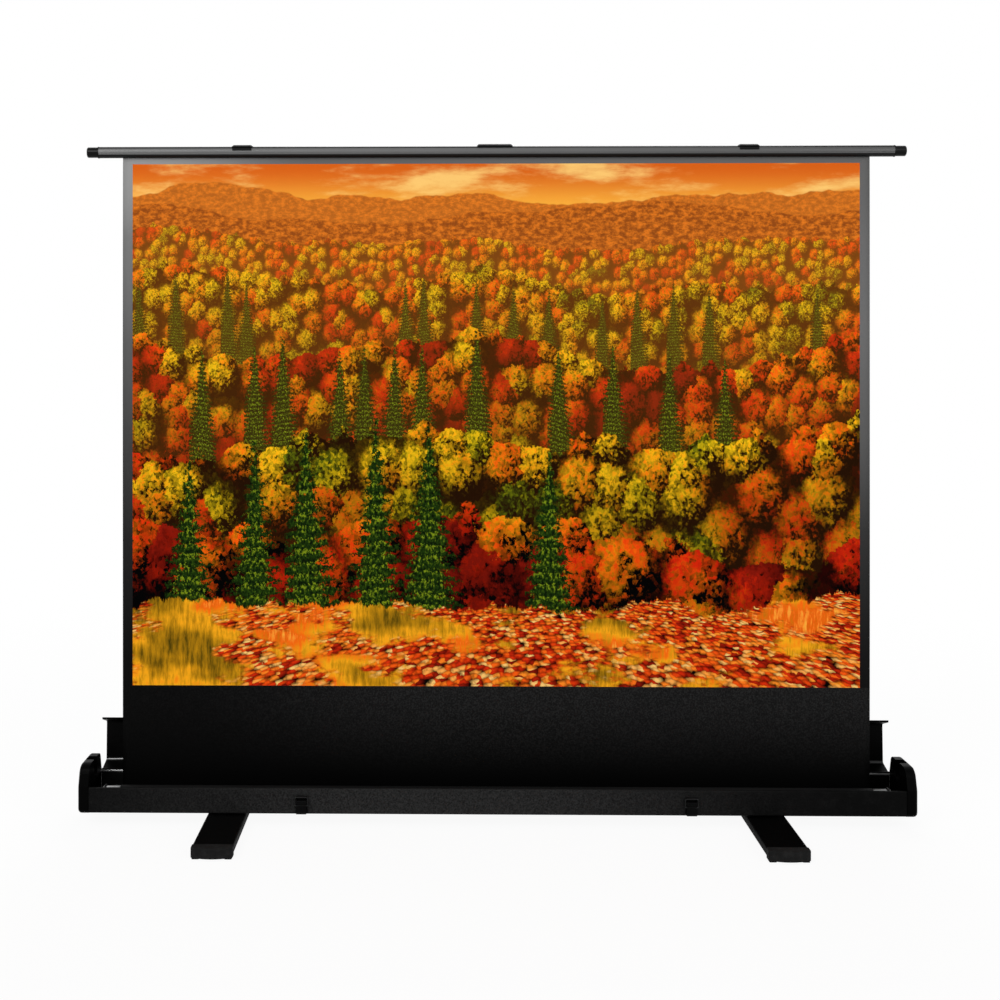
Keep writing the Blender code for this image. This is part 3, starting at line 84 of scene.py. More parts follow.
class Value:
    """A socket that can be written into sums; plain numbers stay plain numbers."""

    def __init__(self, tree, socket):
        self.tree = tree
        self.socket = socket

    def _math(self, operation, *inputs):
        return self.tree.add("ShaderNodeMath", {"operation": operation}, inputs)

    def __add__(self, other):
        return self._math("ADD", self, other)

    def __radd__(self, other):
        return self._math("ADD", other, self)

    def __sub__(self, other):
        return self._math("SUBTRACT", self, other)

    def __rsub__(self, other):
        return self._math("SUBTRACT", other, self)

    def __mul__(self, other):
        return self._math("MULTIPLY", self, other)

    def __rmul__(self, other):
        return self._math("MULTIPLY", other, self)

    def __truediv__(self, other):
        return self._math("DIVIDE", self, other)

    def __rtruediv__(self, other):
        return self._math("DIVIDE", other, self)

    def __pow__(self, other):
        return self._math("POWER", self, other)

    def __gt__(self, other):
        return self._math("GREATER_THAN", self, other)

    def __lt__(self, other):
        return self._math("LESS_THAN", self, other)

    def least(self, other):
        return self._math("MINIMUM", self, other)

    def most(self, other):
        return self._math("MAXIMUM", self, other)

    def size(self):
        return self._math("ABSOLUTE", self)

    def part(self):
        return self._math("FRACT", self)

    def clip(self):
        return self.most(0.0).least(1.0)

    def spread(self, low, high, to_low=0.0, to_high=1.0):
        """Maps low..high smoothly to to_low..to_high, and holds the ends."""
        settings = {"interpolation_type": "SMOOTHSTEP", "clamp": True}
        if low > high:
            low, high, to_low, to_high = high, low, to_high, to_low
        return self.tree.add("ShaderNodeMapRange", settings, (self, low, high, to_low, to_high))


class Finish:
    """One material or world: add() makes its nodes, and coat() its shader and values."""

    def __init__(self, name, store="materials", output="ShaderNodeOutputMaterial"):
        held = getattr(bpy.data, store)
        found = held.get(name)
        if found:
            held.remove(found)
        self.material = held.new(name)
        self.material.use_nodes = True
        self.nodes = self.material.node_tree.nodes
        self.links = self.material.node_tree.links
        self.nodes.clear()
        self.output = self.nodes.new(output)
        self._place = None

    def add(self, kind, settings=None, values=(), out=0):
        """Adds a node: settings first, then values or links by a socket's place or name."""
        node = self.nodes.new(kind)
        for key, value in (settings or {}).items():
            if key == "stops":
                self._stops(node.color_ramp, value)
            else:
                setattr(node, key, value)
        pairs = values.items() if isinstance(values, dict) else enumerate(values)
        for key, value in pairs:
            self.feed(node.inputs[key], value)
        return Value(self, node.outputs[out])

    def _stops(self, ramp, stops):
        while len(ramp.elements) < len(stops):
            ramp.elements.new(0.5)
        for element, (position, colour) in zip(ramp.elements, stops):
            element.position = position
            element.color = (*colour, 1.0)

    def feed(self, socket, value):
        if isinstance(value, Value):
            self.links.new(value.socket, socket)
        elif value is not None:
            if hasattr(value, "__len__") and len(value) == 3 and socket.type == "RGBA":
                value = (*value, 1.0)
            socket.default_value = value

    def place(self):
        """The piece's Object coordinates, which are metres in the frame's axes."""
        if self._place is None:
            self._place = self.add("ShaderNodeTexCoord", out="Object")
        return self._place

    def axes(self):
        """X, Y and Z of the Object coordinates, as three numbers."""
        split = self.add("ShaderNodeSeparateXYZ", {}, (self.place(),)).socket.node
        return tuple(Value(self, socket) for socket in split.outputs)

    def point(self, x, y):
        return self.add("ShaderNodeCombineXYZ", {}, (x, y, 0.0))

    def stretched(self, x, y, z):
        """Object coordinates with each axis multiplied, for grain that runs one way."""
        return self.add(
            "ShaderNodeVectorMath", {"operation": "MULTIPLY"}, (self.place(), (x, y, z))
        )

    def noise(self, scale, detail=2.0, rough=0.5, at=None, settings=None, out="Fac"):
        values = {"Vector": at or self.place(), "Scale": scale, "Detail": detail}
        values["Roughness"] = rough
        return self.add("ShaderNodeTexNoise", settings, values, out)

    def cells(self, scale, at=None, settings=None, out="Distance", scatter=1.0):
        values = {"Vector": at or self.place(), "Scale": scale, "Randomness": scatter}
        return self.add("ShaderNodeTexVoronoi", settings, values, out)

    def mix(self, factor, first, second, blend="MIX"):
        """Mixes two colours, by the places that their sockets have on the node."""
        settings = {"data_type": "RGBA", "blend_type": blend}
        return self.add("ShaderNodeMix", settings, {0: factor, 6: first, 7: second}, 2)

    def ramp(self, factor, stops):
        return self.add("ShaderNodeValToRGB", {"stops": stops}, (factor,), "Color")

    def bump(self, height, distance, strength):
        values = {"Height": height, "Distance": distance, "Strength": strength}
        return self.add("ShaderNodeBump", {}, values, "Normal")

    def coat(self, **sockets):
        """The Principled shader; a name's underscores stand for spaces."""
        values = {key.replace("_", " "): value for key, value in sockets.items()}
        return self.show(self.add("ShaderNodeBsdfPrincipled", {}, values))

    def show(self, shader):
        """Makes a shader the surface, and gives the finished material."""
        self.links.new(shader.socket, self.output.inputs["Surface"])
        return self.material

    def seen(self):
        """1 where the camera sees a surface, by itself, in gloss or through glass, or else 0."""
        camera, gloss, glass = (
            self.add("ShaderNodeLightPath", out=f"Is {ray} Ray")
            for ray in ("Camera", "Glossy", "Transmission")
        )
        return camera.most(gloss).most(glass)


def grey(level):
    """A screen grey, 0 to 255, as a linear colour."""
    share = level / 255
    linear = share / 12.92 if share <= 0.04045 else ((share + 0.055) / 1.055) ** 2.4
    return (linear, linear, linear)


def tint(red, green, blue):
    """A screen colour, 0 to 255 each, as a linear colour."""
    return (grey(red)[0], grey(green)[0], grey(blue)[0])


# What a user may change


class ScreenColours(bpy.types.PropertyGroup):
    """Colours of the case, bar, cloth and floor."""

    case: bpy.props.FloatVectorProperty(
        name="Case coat",
        description="Powder coat of the trough and the lid",
        subtype="COLOR",
        default=grey(15),
        min=0.0,
        max=1.0,
    )
    plastic: bpy.props.FloatVectorProperty(
        name="Moulded parts",
        description="End caps, plugs, clips and shoes",
        subtype="COLOR",
        default=grey(10),
        min=0.0,
        max=1.0,
    )
    bar: bpy.props.FloatVectorProperty(
        name="Top bar",
        description="Satin coat of the top bar",
        subtype="COLOR",
        default=grey(105),
        min=0.0,
        max=1.0,
    )
    arms: bpy.props.FloatVectorProperty(
        name="Lift arms",
        description="Coat of the folding lift's arms and brackets",
        subtype="COLOR",
        default=grey(40),
        min=0.0,
        max=1.0,
    )
    plating: bpy.props.FloatVectorProperty(
        name="Plated steel",
        description="Pins, latches and the spring",
        subtype="COLOR",
        default=grey(176),
        min=0.0,
        max=1.0,
    )
    haze: bpy.props.FloatVectorProperty(
        name="Haze",
        description="Colour that the far hills of the picture fade to",
        subtype="COLOR",
        default=tint(226, 128, 40),
        min=0.0,
        max=1.0,
    )
    floor: bpy.props.FloatVectorProperty(
        name="Floor",
        description="Studio floor and backdrop",
        subtype="COLOR",
        default=(0.9, 0.9, 0.9),
        min=0.0,
        max=1.0,
    )


class ScreenSizes(bpy.types.PropertyGroup):
    """Sizes of the cloth and the fittings."""

    view_width: bpy.props.FloatProperty(
        name="Picture width",
        description="Width of the viewing surface between its black borders",
        unit="LENGTH",
        default=1.630,
    )
    view_height: bpy.props.FloatProperty(
        name="Picture height",
        description="Height of the viewing surface",
        unit="LENGTH",
        default=1.173,
    )
    view_top: bpy.props.FloatProperty(
        name="Picture top",
        description="Height of the viewing surface's upper edge above the floor",
        unit="LENGTH",
        default=1.470,
    )
    cloth: bpy.props.FloatProperty(
        name="Cloth thickness",
        description="Thickness of the coated sheet",
        unit="LENGTH",
        default=0.0006,
    )
    ripple: bpy.props.FloatProperty(
        name="Ripple",
        description="How far the hanging sheet waves in and out",
        unit="LENGTH",
        default=0.0012,
    )


class ScreenCamera(bpy.types.PropertyGroup):
    """The camera and the lamps."""

    place: bpy.props.FloatVectorProperty(
        name="Camera place",
        description="Where the camera stands",
        subtype="TRANSLATION",
        unit="LENGTH",
        default=(-0.1233, -3.0094, 1.050),
    )
    yaw: bpy.props.FloatProperty(
        name="Camera turn",
        description="How far the camera is turned to the left",
        unit="ROTATION",
        default=math.radians(0.83),
    )
    lens: bpy.props.FloatProperty(
        name="Lens", description="Focal length", unit="CAMERA", default=48.32
    )
    shift: bpy.props.FloatVectorProperty(
        name="Lens shift",
        description="Shift of the frame, as a share of its width",
        size=2,
        default=(0.0796, -0.1492),
    )


def colours():
    return bpy.context.scene.screen_colours


def sizes():
    return bpy.context.scene.screen_sizes


# Finishes

# Where along the case the room lights it most
BRIGHT_X = -0.14
# Rubbed corners of the trough and of the lid, their bare metal brightened as a painted highlight
# along the hinge bead and the lid's inner corner: y, z, how far the rubbing reaches, and its grey
TROUGH_RUBBED_HIGHLIGHT = (HINGE_Y, HINGE_Z, 0.0036, 205)
LID_RUBBED_HIGHLIGHT = (LID_HIGH.y - 0.0055, HINGE_Z + 0.0124, 0.0050, 84)
# The lit satin face of the top bar, from its lower to its upper edge, as shares of the radius; above
# and below it the bar's colour is painted shade
LIT_FACE_FOOT_SHARES = (-0.60, -0.30)
LIT_FACE_TOP_SHARES = (0.66, 0.56)


def shade(f, colour, light):
    """A colour darkened by a number that varies over the surface, 1 leaving it as it is."""
    level = light.clip()
    return f.mix(1.0, colour, f.add("ShaderNodeCombineColor", {}, (level,) * 3), "MULTIPLY")


def powder_coat(name, colour, palest, rough=0.46, gloss=0.04, rubbed_highlight_at=None):
    """Fine orange-peel powder coat, palest where the room lights it, bare along a rubbed edge that
    also serves as a painted highlight.
    """
    f = Finish(name)
    x, y, z = f.axes()
    peel = f.noise(620.0, 3.0, 0.55)
    grain = f.cells(1500.0)
    worn = f.noise(5.0, 4.0, 0.6)
    dust = f.noise(38.0, 6.0, 0.7)
    off_middle = (x - BRIGHT_X).size().spread(0.15, 0.95)
    base = f.mix(off_middle, [c * palest for c in colour], [c * 0.2 for c in colour])
    base = f.mix(dust.spread(0.45, 0.8) * 0.2, base, [c * palest for c in colour])
    speck = f.noise(330.0, 3.0, 0.6)
    base = shade(f, f.mix(1.0, base, (2.0,) * 3, "MULTIPLY"), 0.5 + (speck - 0.5) * 1.8)
    roughness = worn.spread(0.3, 0.7, rough - 0.05, rough + 0.09) + (peel - 0.5) * 0.08
    bare_highlight = 0.0
    if rubbed_highlight_at:
        edge_y, edge_z, reach, level = rubbed_highlight_at
        off = ((y - edge_y) ** 2.0 + (z - edge_z) ** 2.0) ** 0.5
        # Painted highlight, partly real wear: a bright bare band round the rubbed edge, fading
        # towards the right as painted light falloff
        bare_highlight = off.spread(reach, reach * 0.8) * f.noise(160.0, 5.0, 0.7).spread(0.3, 0.42)
        bare_highlight = bare_highlight * x.spread(-0.6, 0.6, 1.0, 0.35)
        base = f.mix(bare_highlight, base, grey(level))
        roughness = roughness - bare_highlight * 0.2
    bump = f.bump(peel * 0.7 + grain * 0.3, 0.00012, 0.55)
    return f.coat(
        Base_Color=base,
        Roughness=roughness,
        Metallic=bare_highlight,
        Normal=bump,
        Specular_IOR_Level=gloss,
    )


def moulded(name, colour, rough, scale=900.0, depth=0.00015, gloss=0.1):
    """Spark-eroded moulded plastic: tiny pits, with soft shine in the flow of the mould."""
    f = Finish(name)
    pits = f.cells(scale)
    fine = f.noise(scale * 1.7, 2.0)
    flow = f.noise(9.0, 3.0)
    base = f.mix(flow.spread(0.35, 0.75) * 0.5, colour, [c * 1.6 for c in colour])
    roughness = flow.spread(0.3, 0.7, rough - 0.06, rough + 0.06) + (fine - 0.5) * 0.1
    bump = f.bump(pits * 0.6 + fine * 0.4, depth, 0.5)
    return f.coat(
        Base_Color=base, Roughness=roughness, Normal=bump, Specular_IOR_Level=gloss
    )


def rubber(name, level):
    """Matt rubber with dust in its grain."""
    f = Finish(name)
    grain = f.noise(1100.0, 3.0, 0.6)
    dust = f.noise(60.0, 5.0, 0.65)
    base = f.mix(dust.spread(0.4, 0.75) * 0.6, grey(level), grey(level + 22))
    roughness = grain.spread(0.3, 0.7, 0.74, 0.9)
    bump = f.bump(grain, 0.0002, 0.6)
    return f.coat(
        Base_Color=base, Roughness=roughness, Normal=bump, Specular_IOR_Level=0.12
    )


def drawn_bar(name, colour):
    """The top bar: a satin grey face between painted shade along its upper edge and its underside,
    the face darkening towards the right as painted light falloff.
    """
    f = Finish(name)
    x, _, z = f.axes()
    level = (z - BAR_Z) / BAR_RADIUS
    lines = f.noise(1.0, 4.0, 0.6, at=f.stretched(6.0, 2400.0, 2400.0))
    fine = f.noise(1.0, 2.0, 0.5, at=f.stretched(40.0, 5200.0, 5200.0))
    cloud = f.noise(4.0, 3.0)
    face = f.mix(lines.spread(0.3, 0.7), [c * 0.86 for c in colour], colour)
    face = f.mix(cloud.spread(0.35, 0.7) * 0.25, face, [c * 1.15 for c in colour])
    # Painted light falloff: the face darkens towards the right
    face = f.mix(x.spread(-0.3, 0.95) * 0.55, face, [c * 0.4 for c in colour])
    # Painted shade: outside this band the bar takes grey(12), for its dark upper edge and shaded
    # underside
    inside = level.spread(*LIT_FACE_FOOT_SHARES) * level.spread(*LIT_FACE_TOP_SHARES)
    base = f.mix(inside, grey(12), face)
    roughness = 0.36 + (fine - 0.5) * 0.14 + (cloud - 0.5) * 0.06
    bump = f.bump(lines * 0.6 + fine * 0.4, 0.00004, 0.6)
    return f.coat(
        Base_Color=base,
        Roughness=roughness,
        Metallic=inside * 0.4,
        Normal=bump,
        Specular_IOR_Level=0.12,
    )


def plated(name, colour, rough=0.27):
    """Zinc plate: pale crystals in soft patches, and hairline marks."""
    f = Finish(name)
    crystals = f.cells(260.0, out="Color")
    patch = f.noise(42.0, 4.0)
    marks = f.noise(1.0, 3.0, at=f.stretched(120.0, 2600.0, 900.0))
    base = f.mix(patch.spread(0.35, 0.7) * 0.5, colour, [c * 0.72 for c in colour])
    base = f.mix(0.06, base, crystals, "OVERLAY")
    roughness = patch.spread(0.3, 0.7, rough - 0.05, rough + 0.12) + (marks - 0.5) * 0.12
    bump = f.bump(marks, 0.00003, 0.5)
    return f.coat(Base_Color=base, Roughness=roughness, Metallic=1.0, Normal=bump)


def arm_coat(name, colour):
    """Painted steel arm: satin paint with a few bare flecks."""
    f = Finish(name)
    peel = f.noise(420.0, 3.0, 0.6)
    flecks = f.noise(130.0, 7.0, 0.72)
    bare = flecks.spread(0.66, 0.7)
    base = f.mix(bare * 0.75, colour, grey(120))
    base = f.mix(f.noise(6.0, 3.0).spread(0.4, 0.7) * 0.4, base, [c * 1.7 for c in colour])
    roughness = peel.spread(0.3, 0.7, 0.38, 0.5)
    bump = f.bump(peel, 0.0001, 0.5)
    return f.coat(
        Base_Color=base,
        Roughness=roughness,
        Metallic=bare * 0.9,
        Normal=bump,
        Specular_IOR_Level=0.4,
    )


def alloy(name, colour):
    """Mill finished extruded alloy with die lines along X, darker to the right."""
    f = Finish(name)
    lines = f.noise(1.0, 3.0, at=f.stretched(3.0, 1800.0, 1800.0))
    stain = f.noise(14.0, 4.0)
    base = f.mix(stain.spread(0.35, 0.75) * 0.4, colour, [c * 0.75 for c in colour])
    base = f.mix(f.axes()[0].spread(-0.6, 0.6), base, [c * 0.35 for c in colour])
    roughness = lines.spread(0.3, 0.7, 0.3, 0.46)
    return f.coat(
        Base_Color=base, Roughness=roughness, Metallic=1.0, Normal=f.bump(lines, 0.00005, 0.6)
    )


# The picture

# Wooded slopes from far to near: ridge height, its rise, crown width, warmth, haze
SLOPES = (
    (1.010, 0.040, 0.021, 0.50, 0.26),
    (0.905, 0.055, 0.036, 0.40, 0.15),
    (0.765, 0.060, 0.056, 0.66, 0.07),
    (0.590, 0.065, 0.084, 0.40, 0.02),
    (0.390, 0.060, 0.120, 0.68, 0.0),
)
# A row of spruces before each slope: its foot, spacing, height, haze, and share left out
SPRUCES = (
    None,
    (0.825, 0.040, 0.086, 0.10, 0.62),
    (0.665, 0.062, 0.134, 0.04, 0.52),
    None,
    (0.265, 0.135, 0.350, 0.00, 0.42),
)
FOLIAGE = (
    (0.00, tint(34, 52, 8)),
    (0.14, tint(98, 112, 10)),
    (0.28, tint(200, 172, 14)),
    (0.42, tint(255, 196, 22)),
    (0.56, tint(255, 146, 14)),
    (0.70, tint(252, 88, 10)),
    (0.84, tint(226, 40, 8)),
    (1.00, tint(136, 22, 8)),
)
# Ridges of the two hazy far hills, where the sky pales, the meadow's upper edge, the height
# at which its leaves would shrink to nothing, and where the sun stands
FAR_RIDGES = (1.105, 1.06)
SKY_LOW, SKY_HIGH = 1.04, 1.17
MEADOW_EDGE, MEADOW_HORIZON = 0.185, 0.50
SUN = (-0.62, 0.78, 0.0)
FLAT_CELLS = {"voronoi_dimensions": "2D"}
FLAT_NOISE = {"noise_dimensions": "2D"}


def crowns(f, x, up, width, warmth, seed):
    """Leafy crowns of one slope: their colour, and how far a point is from its crown's middle."""
    at = f.point(x / width + seed * 17.3, up / (width * 1.22) + seed * 9.1)
    rough = f.noise(3.4, 6.0, 0.72, at=at, settings=FLAT_NOISE, out="Color")
    bent = f.add("ShaderNodeVectorMath", {"operation": "MULTIPLY_ADD"}, (rough, (0.62,) * 3, at))
    away = f.cells(1.0, bent, FLAT_CELLS, "Distance", 0.9)
    middle = f.cells(1.0, bent, FLAT_CELLS, "Position", 0.9)
    own = f.cells(1.0, bent, FLAT_CELLS, "Color", 0.9)
    offset = f.add("ShaderNodeVectorMath", {"operation": "SUBTRACT"}, (bent, middle))
    lit = f.add("ShaderNodeVectorMath", {"operation": "DOT_PRODUCT"}, (offset, SUN), "Value")
    pick = f.add("ShaderNodeSeparateColor", {}, (own,), 0)
    dabs = f.add("ShaderNodeSeparateColor", {}, (f.cells(11.0, bent, FLAT_CELLS, "Color"),), 0)
    leaf = f.add("ShaderNodeSeparateColor", {}, (f.cells(15.0, at, FLAT_CELLS, "Color"),), 0)
    boughs = f.cells(3.6, bent, FLAT_CELLS, "Distance")
    groups = f.noise(0.26, 2.0, 0.5, at=at)
    key = pick * 0.46 + groups.spread(0.3, 0.7) * 0.40 + (dabs + leaf - 1.0) * 0.16 + (warmth - 0.42)
    light = 0.80 + lit * 1.15 + (dabs - 0.5) * 0.70 + (leaf - 0.5) * 0.75 - boughs * 0.70
    light = light * away.spread(0.34, 0.72, 1.0, 0.03)
    return shade(f, f.ramp(key.clip(), FOLIAGE), light), away


def spruces(f, x, up, foot, spacing, tall, bare, seed):
    """A row of dark spruces: where they stand, and their colour."""
    column = x / spacing + seed * 3.7
    whole = f.add("ShaderNodeMath", {"operation": "FLOOR"}, (column,))
    chance = f.add("ShaderNodeTexWhiteNoise", {"noise_dimensions": "1D"}, {"W": whole}, "Value")
    other = f.add(
        "ShaderNodeTexWhiteNoise", {"noise_dimensions": "1D"}, {"W": whole + 50.5}, "Value"
    )
    side = (column - whole - 0.5 + (chance - 0.5) * 0.3) * spacing
    tip = foot + tall * (0.45 + other * 0.55)
    down = tip - up
    ragged = f.noise(1.0 / spacing * 9.0, 4.0, 0.7, at=f.point(x, up), settings=FLAT_NOISE)
    tiers = (down * (13.0 / tall) + ragged * 1.7).part()
    slim = down * (0.15 + chance * 0.06) * (0.40 + tiers * 0.74)
    reach = slim + (ragged - 0.5) * spacing * 0.42
    stands = (reach - side.size()).spread(0.0, spacing * 0.02)
    stands = stands * (chance > bare) * (down > 0.0)
    needles = f.noise(1.0 / spacing * 22.0, 4.0, 0.7, at=f.point(x, up * 0.6), settings=FLAT_NOISE)
    green = f.ramp(
        needles.spread(0.3, 0.72) * (1.45 - tiers * 1.05),
        ((0.0, tint(4, 12, 3)), (0.6, tint(34, 60, 10)), (1.0, tint(122, 140, 24))),
    )
    return stands, green


def meadow(f, x, up):
    """Dry grass in gold and russet under drifts of fallen leaves, the nearer ones larger."""
    blades = f.noise(1.0, 6.0, 0.68, at=f.point(x * 90.0, up * 16.0), settings=FLAT_NOISE)
    drift = f.noise(3.4, 3.0, 0.5, at=f.point(x, up * 2.6), settings=FLAT_NOISE)
    key = drift.spread(0.3, 0.7) * 0.55 + blades * 0.5
    grass = f.ramp(
        key.clip(),
        (
            (0.15, tint(70, 62, 8)),
            (0.38, tint(190, 134, 16)),
            (0.58, tint(250, 170, 26)),
            (0.78, tint(246, 100, 14)),
            (1.00, tint(255, 214, 80)),
        ),
    )
    grass = shade(f, grass, 0.28 + blades * 1.3)
    depth = 1.0 / (MEADOW_HORIZON - up)
    rough = f.noise(60.0, 2.0, 0.6, at=f.point(x, up), settings=FLAT_NOISE)
    at = f.point(x * depth * 30.0 + rough, depth * 24.0 + rough)
    pick = f.add("ShaderNodeSeparateColor", {}, (f.cells(1.0, at, FLAT_CELLS, "Color"),), 0)
    leaf = f.cells(1.0, at, FLAT_CELLS, "Distance")
    litter = f.ramp(
        pick,
        (
            (0.00, tint(126, 20, 6)),
            (0.25, tint(214, 44, 10)),
            (0.50, tint(248, 92, 18)),
            (0.75, tint(255, 146, 40)),
            (1.00, tint(255, 204, 116)),
        ),
    )
    litter = shade(f, litter, 1.25 - leaf * 1.35 + (rough - 0.5) * 0.6)
    heap = f.noise(5.0, 5.0, 0.6, at=f.point(x + 3.0, up * 2.0), settings=FLAT_NOISE)
    return f.mix((heap + x * 0.10).spread(0.42, 0.52), grass, litter)


def autumn_hills(f, x, up, haze):
    """Wooded autumn slopes, spruces and a dry meadow under an evening sky, far to near."""
    clouds = f.noise(3.0, 6.0, 0.62, at=f.point(x * 1.1, up * 4.2), settings=FLAT_NOISE)
    sky = f.ramp(up.spread(SKY_LOW, SKY_HIGH), ((0.0, tint(255, 186, 66)), (1.0, tint(214, 96, 24))))
    picture = f.mix(clouds.spread(0.45, 0.72) * 0.8, sky, tint(255, 212, 122))
    for step, height in enumerate(FAR_RIDGES):
        at = f.point(x * (2.2 - step) + 3.1 * step, step * 5.0)
        peak = height + (f.noise(1.0, 5.0, 0.5, at=at, settings=FLAT_NOISE) - 0.5) * 0.22
        woods = f.noise(70.0 - 10.0 * step, 5.0, 0.7, at=f.point(x, up * 1.6), settings=FLAT_NOISE)
        far = f.mix(woods.spread(0.35, 0.7), tint(118, 52, 16), tint(222, 118, 30))
        far = f.mix(0.45 - 0.3 * step, far, haze)
        picture = f.mix((peak - up).spread(0.0, 0.004), picture, far)
    for step, (height, rise, width, warmth, mist) in enumerate(SLOPES):
        at = f.point(x * (1.9 - 0.2 * step) + 7.7 * step, step * 3.1)
        swell = f.noise(1.0, 2.0, 0.4, at=at, settings=FLAT_NOISE)
        ridge = height + (swell - 0.5) * rise * 5.0
        colour, away = crowns(f, x, up, width, warmth, step + 1.0)
        hollow = (ridge - up).spread(0.0, 0.24, 1.0, 0.55)
        colour = f.mix(mist, shade(f, colour, hollow), haze)
        edge = ridge - up - away * width * 0.85
        picture = f.mix(edge.spread(0.0, width * 0.03), picture, colour)
        if SPRUCES[step]:
            foot, spacing, tall, veil, bare = SPRUCES[step]
            slope = foot + (ridge - height) * 0.8
            stands, green = spruces(f, x, up, slope, spacing, tall, bare, step + 1.0)
            picture = f.mix(stands, picture, f.mix(veil, green, haze))
    bank = f.noise(1.0, 3.0, 0.5, at=f.point(x * 1.7 + 4.0, 8.0), settings=FLAT_NOISE)
    shore = MEADOW_EDGE + (bank - 0.5) * 0.34
    fringe = f.noise(46.0, 4.0, 0.7, at=f.point(x, up * 0.3), settings=FLAT_NOISE)
    edge = shore - up + (fringe - 0.5) * 0.05
    return f.mix(edge.spread(0.0, 0.006), picture, meadow(f, x, up))


# The heights between which the border's greys run, the greys up its left edge and over the
# rest of it, as a share of that run and a level, and where across the sheet they change over
BORDER_FOOT, BORDER_HEAD = 0.25, 1.47
LEFT_EDGE_GREYS = ((0.00, 8), (0.22, 34), (0.50, 66), (0.75, 92), (0.95, 118), (1.00, 146))
OTHER_EDGE_GREYS = ((0.00, 14), (0.25, 52), (0.50, 88), (0.78, 106), (0.95, 104), (1.00, 98))
LEFT_EDGE_X, LEFT_EDGE_END_X = -0.81, -0.40


def border_grey(f, x, z):
    """The black border reads grey at the top, where the room lights it, and black below."""
    left, other = (
        f.ramp(z.spread(BORDER_FOOT, BORDER_HEAD), [(up, grey(level)) for up, level in greys])
        for greys in (LEFT_EDGE_GREYS, OTHER_EDGE_GREYS)
    )
    return f.mix(x.spread(LEFT_EDGE_X, LEFT_EDGE_END_X), left, other)


def sheet_front(look):
    """The viewing surface with its printed hills, and the black border and drop round it."""
    f = Finish("sheet_front")
    half, low = sizes().view_width / 2, sizes().view_top - sizes().view_height
    x, _, z = f.axes()
    picture = autumn_hills(f, x, z - low, look.haze[:])
    dust = f.noise(330.0, 4.0, 0.65)
    lit = z.spread(0.08, 0.31) * x.spread(-0.75, -0.1, 0.2, 1.0)
    black = f.mix(lit, grey(1), grey(18))
    black = f.mix(dust.spread(0.40, 0.66) * lit * 0.8, black, grey(42))
    edge = f.mix(z > low, black, border_grey(f, x, z))
    inside = (x.size() < half) * (z > low) * (z < sizes().view_top)
    weave = f.noise(1900.0, 2.0, 0.6)
    knots = f.noise(1.0, 2.0, 0.5, at=f.stretched(2600.0, 1.0, 700.0))
    colour = f.mix(inside, edge, picture)
    roughness = inside.spread(0.0, 1.0, 0.62, 0.86) + (weave - 0.5) * 0.1
    bump = f.bump(weave * 0.6 + knots * 0.4, 0.00008, 0.5)
    return f.coat(
        Base_Color=colour, Roughness=roughness, Normal=bump, Specular_IOR_Level=0.03
    )


def sheet_back(name="sheet_back"):
    """The black coated back of the cloth, with its glass-fibre weave showing through."""
    f = Finish(name)
    warp = f.noise(1.0, 1.0, 0.5, at=f.stretched(1500.0, 1.0, 160.0))
    weft = f.noise(1.0, 1.0, 0.5, at=f.stretched(160.0, 1.0, 1500.0))
    cloud = f.noise(3.0, 4.0)
    base = f.mix(cloud.spread(0.35, 0.7) * 0.6, grey(10), grey(17))
    roughness = cloud.spread(0.3, 0.7, 0.6, 0.72)
    bump = f.bump(warp + weft, 0.00008, 0.5)
    return f.coat(
        Base_Color=base, Roughness=roughness, Normal=bump, Specular_IOR_Level=0.14
    )


# Making pieces


def finished(name, bm, materials, body, smooth=True):
    """Turns a bmesh into a piece that rides on a body and takes its finish from a slot."""
    bmesh.ops.remove_doubles(bm, verts=bm.verts, dist=1e-6)
    bmesh.ops.recalc_face_normals(bm, faces=bm.faces)
    mesh = bpy.data.meshes.new(name)
    bm.to_mesh(mesh)
    bm.free()
    for face in mesh.polygons:
        face.use_smooth = smooth
    for material in materials:
        mesh.materials.append(material)
    piece = bpy.data.objects.new(name, mesh)
    bpy.context.scene.collection.objects.link(piece)
    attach(piece, body)
    return piece


def soften(bm, edges, offset):
    """Rounds edges over a small offset."""
    bmesh.ops.bevel(
        bm,
        geom=edges,
        offset=offset,
        offset_type="OFFSET",
        segments=2,
        profile=0.5,
        affect="EDGES",
        material=-1,
    )


def dress(names, material):
    """Gives framed nodes their finish, in the slots that they have."""
    for name in names:
        node = frame["nodes"][name]
        if not node.data.materials:
            node.data.materials.append(material)
        for holder in node.material_slots:
            holder.material = material


def both(*stems):
    return [f"{stem}_{side}" for stem in stems for side in ("left", "right")]


# The sheet's grid, its long wave across with its sway and lean, its short wave, how hard its
# edges curl back, and how soon below the bar and above the roller it waves in full
SHEET_ACROSS, SHEET_UP = 112, 96
LONG_WAVE, LONG_SWAY, LONG_LEAN = 9.2, 1.3, 3.1
SHORT_WAVE, SHORT_LEAN, SHORT_SHARE = 21.0, 2.0, 0.5
WAVE_SHARE, CURL_SHARE, CURL_POWER, HOLD_POWER = 0.5, 1.6, 10, 0.6


